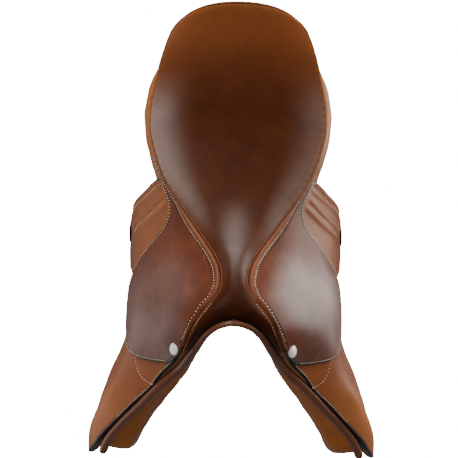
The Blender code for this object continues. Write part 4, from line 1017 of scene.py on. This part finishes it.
def make_skirts():
    loop = skirt_loop()
    welt = loop[:SKIRT_ACROSS]
    welt_points = skin(*welt.T)

    def depth(y, z):
        place = skin(np.ravel(y), np.ravel(z))
        off = nearest(place, path(welt_points, 300, straight=True))
        band = seam_band(place[:, 1])
        swell = np.where(off < band, np.sin(np.clip(off / band, 0, 1) * math.pi) ** 0.7, 0)
        crease = bell(off - band, 1.5)
        return (CREASE * crease - BAND_RISE * swell * ease((band - 3) / 4)).reshape(np.shape(y))

    rows = np.concatenate([np.linspace(0, 0.14, 25)[:-1], np.linspace(0.14, 1, SKIRT_DOWN - 24)])
    stitched = np.ones(len(loop))
    stitched[:SKIRT_ACROSS] = 0

    def tone(points):
        off = nearest(points, welt_points)
        crease = bell(off - seam_band(points[:, 1]), 1.3)
        return np.clip(0.27 - 0.5 * crease, 0, 1)

    def shine(points):
        """Most polished across the middle of the skirt, where the rider's thigh lies."""
        y, z = points[:, 1], points[:, 2]
        off = nearest(points, welt_points)
        middle = ease((off - 12) / 38) * ease((-68 - y) / 62) * (1 - 0.4 * ease((12 - z) / 50))
        return np.clip(0.05 + 0.95 * middle, 0, 1)

    def paler(points):
        """The raised band beside the welt is tan."""
        off = nearest(points, welt_points)
        band = seam_band(points[:, 1])
        away = 1 - 0.8 * ease((-150 - points[:, 1]) / 40)
        return 0.42 * away * bell(off - 0.45 * band, 0.42 * band)

    corner = SKIRT_ACROSS + SKIRT_DOWN - 2
    free = inset(loop, STITCH_ROOM)[corner:corner + SKIRT_ACROSS - 1][::-1]
    seam = path(welt, 300, straight=True)
    place, normal = skin(*seam.T), skin_normal(*seam.T)
    down_way = np.cross(normal, unit(np.gradient(place, axis=0)))
    down_way *= np.sign(-down_way[150, 2])
    inner = (place + down_way * seam_band(seam[:, 0])[:, None])[8:262, 1:]
    # Points on the skirt's hinge, worked out for a bend that is not made
    axis, fall = unit(np.array(SKIRT_AXIS)), np.array(SKIRT_FALL)
    fall = unit(unit(fall - axis * np.dot(fall, axis)) - np.array([0, 0.14, 0]))
    middle = np.array(SKIRT_HINGE) + axis * 110
    for label, side in SIDES.items():
        made = sheet("skirt_leather_" + label, loop, SKIRT_ACROSS, SKIRT_DOWN, SKIRT_LEATHER,
                     "skirt", side, depth, rows, stitched, SKIRT_ACROSS - 1, burnish=tone, levels=0,
                     polish=shine, worn=paler)
        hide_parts("skirt_roll_" + label, "skirt_" + label)
        bend = (tuple((middle + fall * way) * np.array([side, 1, 1]) * MM) for way in SKIRT_BEND)
        sewn = (("edge", free, 0.05), ("seam", inner, CREASE))
        sew_and_bend(made, label, side, "skirt", sewn, depth, *bend)


# Flaps


FLAP_TOP_EDGE = (
    (-212.5, 30), (-190, 41), (-170, 44.5), (-161, 38), (-157, 24), (-148, 17.5), (-105, 17), (-62, 17.5),
    (-53, 24), (-50, 46), (-44, 60), (-30, 67), (-8, 68.5), (6, 67.5), (15, 60), (24, 40), (32, 17), (41, -8),
)
FLAP_BOTTOM = (
    (-262.5, -138), (-262, -172), (-241, -222), (-195, -256), (-130, -272), (-70, -268), (-22, -245),
)
FLAP_REAR = ((41, -8), (52, -34), (70, -62), (84, -86), (90, -112), (72, -157), (36, -204), (-22, -245))
FLAP_FRONT = ((-212.5, 30), (-221, -5), (-227, -20), (-237, -50), (-256, -113), (-262.5, -138))
FLAP_ACROSS, FLAP_DOWN = 132, 116
ARC_ONE = ((12, 52), (19, 24), (29, -10), (40, -50), (50, -95), (48, -140), (30, -180))
ARC_TWO = ((-15, 53), (-14, 24), (-8, -20), (2, -70), (8, -110), (4, -145))
KNEE_SEAM = ((-192, -19), (-199, -22), (-208, -25), (-219, -25.5), (-228, -21))
REAR_BULGE = 6.5
FLAP_SEAM, FLAP_RIDGE = 0.9, 2.6
FLAP_EDGE = 5.4  # the painted edge is a little thicker than the solid
FLAP_BEND = ((0.145, 0, -0.034), (0.145, 0, -0.046))  # start and end of the bend at the hinge, in metres


def rear_swell(y, z):
    """How far the thigh pad lifts the flap behind the skirt."""
    along = ease((y + 5) / 60) * ease((10 - z) / 70) * ease((z + 250) / 90)
    return REAR_BULGE * along


def knee_swell(y, z):
    """How far the knee roll stands out behind the flap's front edge."""
    behind = y - front_edge_y(z)
    along = ease((-46 - z) / 40) * ease((z + 236) / 60)
    ridge, hollow = bell(behind - 26, 13), bell(behind - 56, 12)
    fuller = bell(behind - 70, 52) * ease((-50 - z) / 50)
    return along * (2.6 * ridge - 2.2 * hollow) + 4.2 * fuller * ease((z + 240) / 60)


def make_flaps():
    across, down = FLAP_ACROSS, FLAP_DOWN
    rows = np.linspace(0, 1, down) ** 1.25
    loop = loop_of(FLAP_TOP_EDGE, FLAP_REAR, FLAP_BOTTOM, FLAP_FRONT, across, down, rows)
    arcs = [skin(*path(line, 80).T) for line in (ARC_ONE, ARC_TWO, KNEE_SEAM)]

    def depth(y, z):
        place = skin(np.ravel(y), np.ravel(z))
        first, second, knee = (nearest(place, line) for line in arcs)
        seams = bell(first, 1.8) + bell(second, 1.8) + 0.5 * bell(knee, 1.5)
        ridges = bell(first - 7, 4.4) + bell(second - 7, 4.4)
        fade = ease((60 - np.ravel(z)) / 12)
        swell = knee_swell(np.ravel(y), np.ravel(z)) + rear_swell(np.ravel(y), np.ravel(z))
        return (FLAP_FACE + (FLAP_SEAM * seams - FLAP_RIDGE * ridges) * fade - swell).reshape(np.shape(y))

    stitched = np.zeros(len(loop))
    stitched[2 * across + down - 3:] = 1

    def tone(points):
        y, z = points[:, 1], points[:, 2]
        behind = y - front_edge_y(z)
        # Painted highlight: lighter along the ridge of the knee roll, where it catches the light; lighter
        # towards the top rear as well
        lit = bell(behind - 26, 22) * ease((-40 - z) / 60)
        return np.clip(0.42 + 0.5 * lit + 0.3 * ease((y - 20) / 60) * ease((z + 90) / 60), 0, 1)

    front = inset(loop, STITCH_ROOM)[2 * across + down - 3:][::-1]
    sewn = (
        ("front", front[:int(len(front) * 0.74)], 0.05), ("arc_one", path(ARC_ONE, 80), FLAP_SEAM),
        ("arc_two", path(ARC_TWO, 80), FLAP_SEAM), ("knee", path(KNEE_SEAM, 60), 0.5 * FLAP_SEAM),
    )
    for label, side in SIDES.items():
        made = sheet("flap_leather_" + label, loop, across, down, FLAP_EDGE, "flap", side, depth, rows,
                     stitched, burnish=tone, wear=5, curl=1.6, levels=0)
        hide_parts("flap_top_" + label, "flap_" + label)
        bend = ((side * x, y, z) for x, y, z in FLAP_BEND)
        sew_and_bend(made, label, side, "flap", sewn, depth, *bend)


def make_keepers():
    """A short leather band across the flap that holds the stirrup leather down."""
    turn = np.linspace(-1, 1, 41)
    rise = KEEPER_RISE * (1 - np.abs(turn) ** 4) ** 0.7
    y, t = np.meshgrid(np.linspace(-0.5, 0.5, 13) * KEEPER_BAND + KEEPER_Y, turn)
    z = KEEPER_Z - t * KEEPER_SPAN / 2
    face = FLAP_FACE - rear_swell(y, z) - knee_swell(y, z) - rise[:, None]
    outer, inner = skin(y, z, face - KEEPER_LEATHER), skin(y, z, face + 0.2)
    for label, side in SIDES.items():
        made = plate("keeper_" + label, outer, inner, "strap", side, 0.5, 0.3)
        belongs(made, "flap_" + label, "strap_leather", "leather_keeper_" + label)


# Roll, nails and the rest


def make_roll():
    left = []
    for height in (-140, -120, -85, -50, -20):
        y = float(front_edge_y(height))
        place = skin(y + ROLL_SETBACK, height, FLAP_BACK + ROLL_RADIUS + 3 * SOFT_FIT)
        left.append(place - np.array([0, ROLL_FORWARD + ROLL_FULLER, 0]))
    half = left + [np.array(place, float) for place in ROLL_CROWN]
    whole = half + [place * np.array([-1, 1, 1]) for place in reversed(half[:-1])]
    line = path(whole, 361)
    end = np.minimum(np.arange(361), 360 - np.arange(361)) / 4
    radius = np.interp(line[:, 2], ROLL_TAPER, (ROLL_RADIUS + ROLL_FULLER, ROLL_CROWN_RADIUS))
    points, faces = tube(line, radius * np.sqrt(np.clip(1 - (1 - np.clip(end, 0, 1)) ** 2, 0.04, 1)), 18)
    roll = finished("arch_roll", points, faces, ["roll"], 1, None, 0.6, 0.3, 1, 0.6)
    belongs(roll, "saddle", "panel_leather", "front_roll")
    # A black strip from the seat's apron to the roll at the arch: painted shade in the gap between them
    crown = line[line[:, 2] > 52]
    run = np.linspace(-1, 1, 121)
    far = places_at(run, np.linspace(-1, 1, len(crown)), crown[::-1])
    across = run * rim_inset(np.zeros_like(run), 4.0)
    near = seat_point(across, apron_line(across, np.zeros_like(run)) + 0.12, SEAT_LEATHER + 0.6)
    behind = np.array([0.0, 1.0, -0.6])
    outer = np.stack([near, (near + far) / 2 + behind * 1.2, far + behind * 1.5])
    facing = plate("arch_facing", outer, outer + unit(behind) * 1.2, "edge")
    belongs(facing, "saddle", "panel_leather")


def make_nails():
    """A domed head on a short shank, turned to lie on the skirt's front corner."""
    leans = unit(np.array(NAIL_LEAN))
    place = skin(NAIL_Y, NAIL_Z) + leans * 1.8 - np.array((0, 0.6, 2.2))
    radius = (NAIL_HEAD_RADIUS + 0.5) * MM
    for label, side in SIDES.items():
        turn = np.array([side, 1, 1])
        bpy.ops.mesh.primitive_uv_sphere_add(segments=32, ring_count=20, radius=radius)
        nail = bpy.context.object
        nail.name = nail.data.name = "nail_head_" + label
        bpy.ops.object.mode_set(mode="EDIT")
        bpy.ops.mesh.select_all(action="SELECT")
        bpy.ops.mesh.bisect(plane_co=(0, 0, 0), plane_no=(0, 0, 1), clear_inner=True, use_fill=True)
        bpy.ops.mesh.extrude_region_move(TRANSFORM_OT_translate={"value": (0, 0, -NAIL_RIM * MM)})
        bpy.ops.mesh.inset(thickness=4.4 * MM)
        bpy.ops.mesh.extrude_region_move(TRANSFORM_OT_translate={"value": (0, 0, -NAIL_SHANK * MM)})
        bpy.ops.object.mode_set(mode="OBJECT")
        for vert in nail.data.vertices:
            if vert.co.z > 0:
                vert.co.z *= NAIL_HEAD_RISE / NAIL_HEAD_RADIUS
        nail.rotation_euler = Vector(leans * turn).to_track_quat("Z", "Y").to_euler()
        nail.location = Vector(place * turn * MM)
        bpy.ops.object.transform_apply(location=True, rotation=True)
        bpy.ops.object.shade_smooth_by_angle(angle=math.radians(40))
        nail.data.materials.append(FINISH["pewter"])
        belongs(nail, "saddle", "pewter", "nail_" + label)


SWEAT_SETBACK = 11.0


def make_sweat_flaps():
    def front(*heights):
        """Places on the sweat flap's front edge, which stays behind the flap's."""
        return [(float(front_edge_y(z)) + SWEAT_SETBACK, z) for z in heights]

    top = front(6) + [(-190, 4), (-150, 4), (-100, 4), (-50, 4), (0, 4), (34, 2), (62, -14), (82, -44)]
    ahead = front(6, -20, -50, -85, -120, -140)
    low = (ahead[-1], (-256, -178), (-234, -216), (-195, -242), (-130, -254), (-75, -248), (-32, -222))
    rear = ((82, -44), (80, -64), (66, -100), (44, -142), (12, -187), (-32, -222))
    loop = loop_of(top, rear, low, ahead, 50, 44)
    for label, side in SIDES.items():
        made = sheet("sweat_leather_" + label, loop, 50, 44, SWEAT_LEATHER, "panel", side, sweat_face, wear=6)
        belongs(made, "saddle", "panel_leather", "sweat_flap_" + label)


def smooth(shell, rounds):
    for _ in range(rounds):
        bmesh.ops.smooth_vert(
            shell, verts=shell.verts, factor=0.5, use_axis_x=True, use_axis_y=True, use_axis_z=True)


def soft_copy(node, name, finish, slot, voxel_mm, rounds, form=None):
    """A padded piece made from its solid: skinned evenly, smoothed, and crowned by form(points, normals)."""
    made = bpy.data.objects.new(name, frame["nodes"][node].data.copy())
    bpy.context.scene.collection.objects.link(made)
    made.data.materials.clear()
    step = made.modifiers.new("even skin", "REMESH")
    step.mode, step.voxel_size = "VOXEL", voxel_mm * MM
    graph = bpy.context.evaluated_depsgraph_get()
    mesh = bpy.data.meshes.new_from_object(made.evaluated_get(graph))
    made.modifiers.clear()
    made.data = mesh
    shell = bmesh.new()
    shell.from_mesh(mesh)
    smooth(shell, rounds)
    if form:
        shell.normal_update()
        points = np.array([vert.co for vert in shell.verts]) / MM
        moved = form(points, np.array([vert.normal for vert in shell.verts])) * MM
        for vert, place in zip(shell.verts, moved):
            vert.co = place
        smooth(shell, 3)
    shell.to_mesh(mesh)
    shell.free()
    paint(mesh, burnish=0.45, wear=0.0, polish=0.2)
    mesh.materials.clear()
    mesh.materials.append(FINISH[finish])
    mesh.shade_smooth()
    belongs(made, "saddle", slot, node)


# How much fuller the panel's front is than its solid, by height
PANEL_FULL = (
    (-240, 0), (-214, 1.5), (-190, 6), (-160, 12), (-120, 18), (-81, 20), (-53, 19), (-27, 15), (-1, 8),
    (20, 3), (40, 0),
)


def make_panels():
    height, more_at = np.array(PANEL_FULL, float).T
    for label, side in SIDES.items():
        def fuller(points, normals):
            """The horse's side swells, most behind the knee roll; the side under the flap stays."""
            x, y, z = points[:, 0] * side, points[:, 1], points[:, 2]
            inward = ease((0.25 - normals[:, 0] * side) / 0.6)
            points = points + normals * 1.2 * inward[:, None]
            deep = (side_width(y, z) - x) * skin_normal(y, z)[:, 0] - sweat_face(y, z)
            more = np.interp(z, height, more_at) * ease((-120 - y) / 60) * ease((deep - 5) / 20)
            points[:, 0] -= side * more
            return points

        soft_copy("panel_" + label, "panel_skin_" + label, "panel", "panel_leather", 2.6, 12, fuller)
        for block in ("knee_block_", "thigh_block_"):
            soft_copy(block + label, block + "pad_" + label, "panel", "panel_leather", 2.2, 4)
        soft_copy("point_pocket_" + label, "pocket_" + label, "strap", "strap_leather", 0.8, 2)


def make_cantle():
    soft_copy("cantle_facing", "cantle_leather", "seat", "seat_leather", 1.0, 3)
    soft_copy("seat_foam", "seat_foam_pad", "foam", "foam", 2.2, 3)


# On the left: y, then x and z of the upper edge under the skirt, then x and z where it meets the panel
SIDE_FACING = (
    (-5, 86.5, 71, 84, 50), (10, 91.5, 71, 88, 49), (20, 95.5, 71, 91, 48), (30, 98, 71, 93.5, 46),
    (40, 101, 71, 97, 43.5), (50, 104, 71, 102, 47), (60, 106.5, 72, 106.5, 53), (70, 108.6, 73, 108.6, 55),
    (80, 109.8, 75, 109.8, 58), (90, 109.8, 82, 110, 62.5), (97, 109.8, 90, 110.3, 66),
    (105, 110.2, 92, 110.6, 69.5), (114, 109.8, 93, 110.4, 74), (122, 108.6, 94, 109.4, 78),
)


def make_side_facings():
    """The panel's leather facing, which closes the side between the panel and the skirt's narrow strip."""
    stations = np.array(SIDE_FACING, float)
    y = np.linspace(stations[0, 0], stations[-1, 0], 100)
    top_x, top_z, low_x, low_z = (hermite(stations[:, 0], column, y) for column in stations.T[1:])
    down = np.linspace(0, 1, 12)[:, None, None]
    outer = np.stack([top_x, y, top_z], axis=1) * (1 - down) + np.stack([low_x, y, low_z], axis=1) * down
    for label, side in SIDES.items():
        facing = plate("side_facing_" + label, outer, outer - np.array([1.2, 0, 0]), "panel", side, 0.3)
        belongs(facing, "saddle", "panel_leather")


def punch(piece, holes, radius_mm):
    """Round holes through a strap, at (place, way) pairs."""
    bpy.ops.object.select_all(action="DESELECT")
    for place, way in holes:
        bpy.ops.mesh.primitive_cylinder_add(
            vertices=14, radius=radius_mm * MM, depth=0.016, location=Vector(place) * MM,
            rotation=Vector(way).to_track_quat("Z", "Y").to_euler())
        bpy.context.object.name = "hole_punch"
    punches = [obj for obj in bpy.data.objects if obj.name.startswith("hole_punch")]
    for obj in punches:
        obj.select_set(True)
    bpy.context.view_layer.objects.active = punches[0]
    bpy.ops.object.join()
    cutter = bpy.context.object
    cut = piece.modifiers.new("holes", "BOOLEAN")
    cut.operation, cut.object, cut.solver = "DIFFERENCE", cutter, "EXACT"
    bpy.context.view_layer.objects.active = piece
    bpy.ops.object.modifier_apply(modifier=cut.name)
    bpy.data.objects.remove(cutter)


def billet_faces(z):
    """Depths of the two faces of the billets at a height, by the front billet's own line."""
    room = SOFT_FIT + (BILLET_AIR - SOFT_FIT) * ease((15 - z) / 60)
    return lambda y: sweat_face(np.full_like(z, y), z) - room


HOLE_TOP, HOLE_PITCH, HOLES = -62.0, 20.0, 8


def make_billets():
    """Girth straps with a stitched border, punched holes and a shaped tip."""
    rows = np.linspace(BILLET_TOP, BILLET_END, 150)
    t, z = np.meshgrid(np.linspace(-0.5, 0.5, 13), rows)
    crown = 0.5 * (1 - (2 * t) ** 4)
    high = rows[(rows < BILLET_TOP - 4) & (rows > BILLET_END + 16)]
    heights = [np.array([HOLE_TOP - k * HOLE_PITCH]) for k in range(HOLES)]
    for label, side in SIDES.items():
        turn = np.array([side, 1, 1])
        for row, centre in BILLET_Y.items():
            y = centre + t * BILLET_WIDTH * (0.35 + 0.65 * ease((z - BILLET_END) / 14))
            far = billet_faces(z)(centre)
            outer, inner = skin(y, z, far - BILLET_STRAP + 0.5 - crown), skin(y, z, far)
            name = "billet_%s_%s" % (row, label)
            made = plate("strap_%s_%s" % (row, label), outer, inner, "strap", side, 0.5, 0.15)
            holes = []
            for height in heights:
                middle = skin(np.array([centre]), height, billet_faces(height)(centre) - BILLET_STRAP / 2)[0]
                holes.append((middle * turn, skin_normal(np.array([centre]), height)[0] * turn))
            punch(made, holes, 2.2)
            belongs(made, name, "strap_leather", name)
            for word, edge in (("fore", -1), ("aft", 1)):
                beside = np.full_like(high, centre + edge * (BILLET_WIDTH / 2 - 3))
                place = skin(beside, high, billet_faces(high)(centre) - BILLET_STRAP)
                title = "strap_%s_%s_thread_%s" % (row, word, label)
                thread = stitch_row(title, place, skin_normal(beside, high), side, sink=0.45)
                belongs(thread, name, "strap_leather")


def make_guards():
    """The shaped plate that covers the girth buckles, and the loop behind it that holds it on the strap."""
    centre = BILLET_Y["front"]
    t, s = np.meshgrid(np.linspace(-1, 1, 41), np.sin(np.linspace(-1, 1, 61) * math.pi / 2) * 0.5 + 0.5)
    corner = np.sqrt(1 - (1 - np.clip(np.minimum(s, 1 - s) / 0.13, 0, 1)) ** 2)
    half = GUARD_WIDTH / 2 * (0.84 + 0.16 * ease(s / 0.7)) * (0.7 + 0.3 * corner)
    y, z = centre + t * half, GUARD_TOP + s * (GUARD_LOW - GUARD_TOP)
    face = billet_faces(z)(centre) - BILLET_STRAP - 4 * FIT - GUARD_LEATHER
    outer, inner = skin(y, z, face), skin(y, z, face + GUARD_LEATHER)
    middle = (GUARD_TOP + GUARD_LOW) / 2
    far = float(billet_faces(np.array([middle]))(centre)[0])
    near = far - BILLET_STRAP - 3 * FIT
    far += 2 * FIT
    wide = BILLET_WIDTH / 2 + 1.2
    levels = np.linspace(middle - 9, middle + 9, 13)
    walls = []
    for more in (LOOP_LEATHER, 0):
        low, high, deep = centre - wide - more, centre + wide + more, far + more
        rim = path(((low, near), (low, deep), (high, deep), (high, near)), 49, straight=True)
        rim_y, rim_z = np.meshgrid(rim[:, 0], levels)
        walls.append(skin(rim_y, rim_z, np.broadcast_to(rim[:, 1], rim_y.shape)))
    line = [(y[i, 4], z[i, 4]) for i in range(6, 55)] + [(y[i, 36], z[i, 36]) for i in range(54, 5, -1)]
    line = np.array(line)
    place = skin(*line.T, billet_faces(line[:, 1])(centre) - BILLET_STRAP - 4 * FIT - GUARD_LEATHER)
    for label, side in SIDES.items():
        body = "buckle_guard_" + label
        guard = plate("girth_guard_" + label, outer, inner, "strap", side, 0.6, 0.2)
        belongs(guard, body, "strap_leather", body)
        loop = plate("girth_guard_loop_" + label, *walls, "strap", side, 0.5, 0.1, 0.15)
        belongs(loop, body, "strap_leather", "guard_loop_" + label)
        thread = stitch_row("girth_guard_thread_" + label, place, skin_normal(*line.T), side)
        belongs(thread, body, "strap_leather")


FOAM_HEAD, FOAM_SEAT, FOAM_CANTLE = 6.2, 16.0, 9.0


def make_webs():
    """Woven webs: one stretched over the tree under the seat, one on each side that carries the billets."""
    u, v = np.meshgrid(np.linspace(-0.8, 0.8, 49), np.linspace(8.4, LAST_LINE - 2.3, 61))
    foam = (FOAM_HEAD, FOAM_HEAD, FOAM_SEAT, FOAM_SEAT, FOAM_CANTLE)
    foam = hermite((0, 7, 9, 15, LAST_LINE), foam, v.ravel())
    near = SEAT_LEATHER + 2 * SOFT_FIT + foam.reshape(v.shape)
    web = plate("seat_webbing", seat_point(u, v, near), seat_point(u, v, near + WEB_CLOTH), "web")
    webs = [(web, "seat_web", (0.15, 0.25))]
    y, s = np.meshgrid(np.linspace(-60, 12, 37), np.linspace(0, 1, 27))
    top = 56 + 2 * (1 - ((y + 24) / 36) ** 2)
    z = top + (8 - top) * s
    near = sweat_face(y, z)
    outer, inner = skin(y, z, near), skin(y, z, near + WEB_CLOTH)
    for label, side in SIDES.items():
        web = plate("billet_webbing_" + label, outer, inner, "web", side)
        webs.append((web, "billet_web_" + label, (0.072, 0.05)))
    for web, node, flat in webs:
        belongs(web, "saddle", "web", node)


BARE = {
    "tree_frame": "wood", "tree_head": "wood", "head_plate": "steel", "tree_spring": "steel",
    "stirrup_bar": "steel", "bar_catch": "steel", "catch_pin": "steel",
}


def dress_nodes():
    for name, node in frame["nodes"].items():
        base = name.replace("_left", "").replace("_right", "")
        if base in BARE:
            for slot in node.material_slots:
                slot.material = FINISH[BARE[base]]


for make in (
    make_camera, make_studio, make_seat, make_welt, make_welt_tail, make_skirts, make_flaps, make_keepers,
    make_roll, make_nails, make_sweat_flaps, make_panels, make_cantle, make_side_facings, make_billets,
    make_guards, make_webs, dress_nodes,
):
    make()
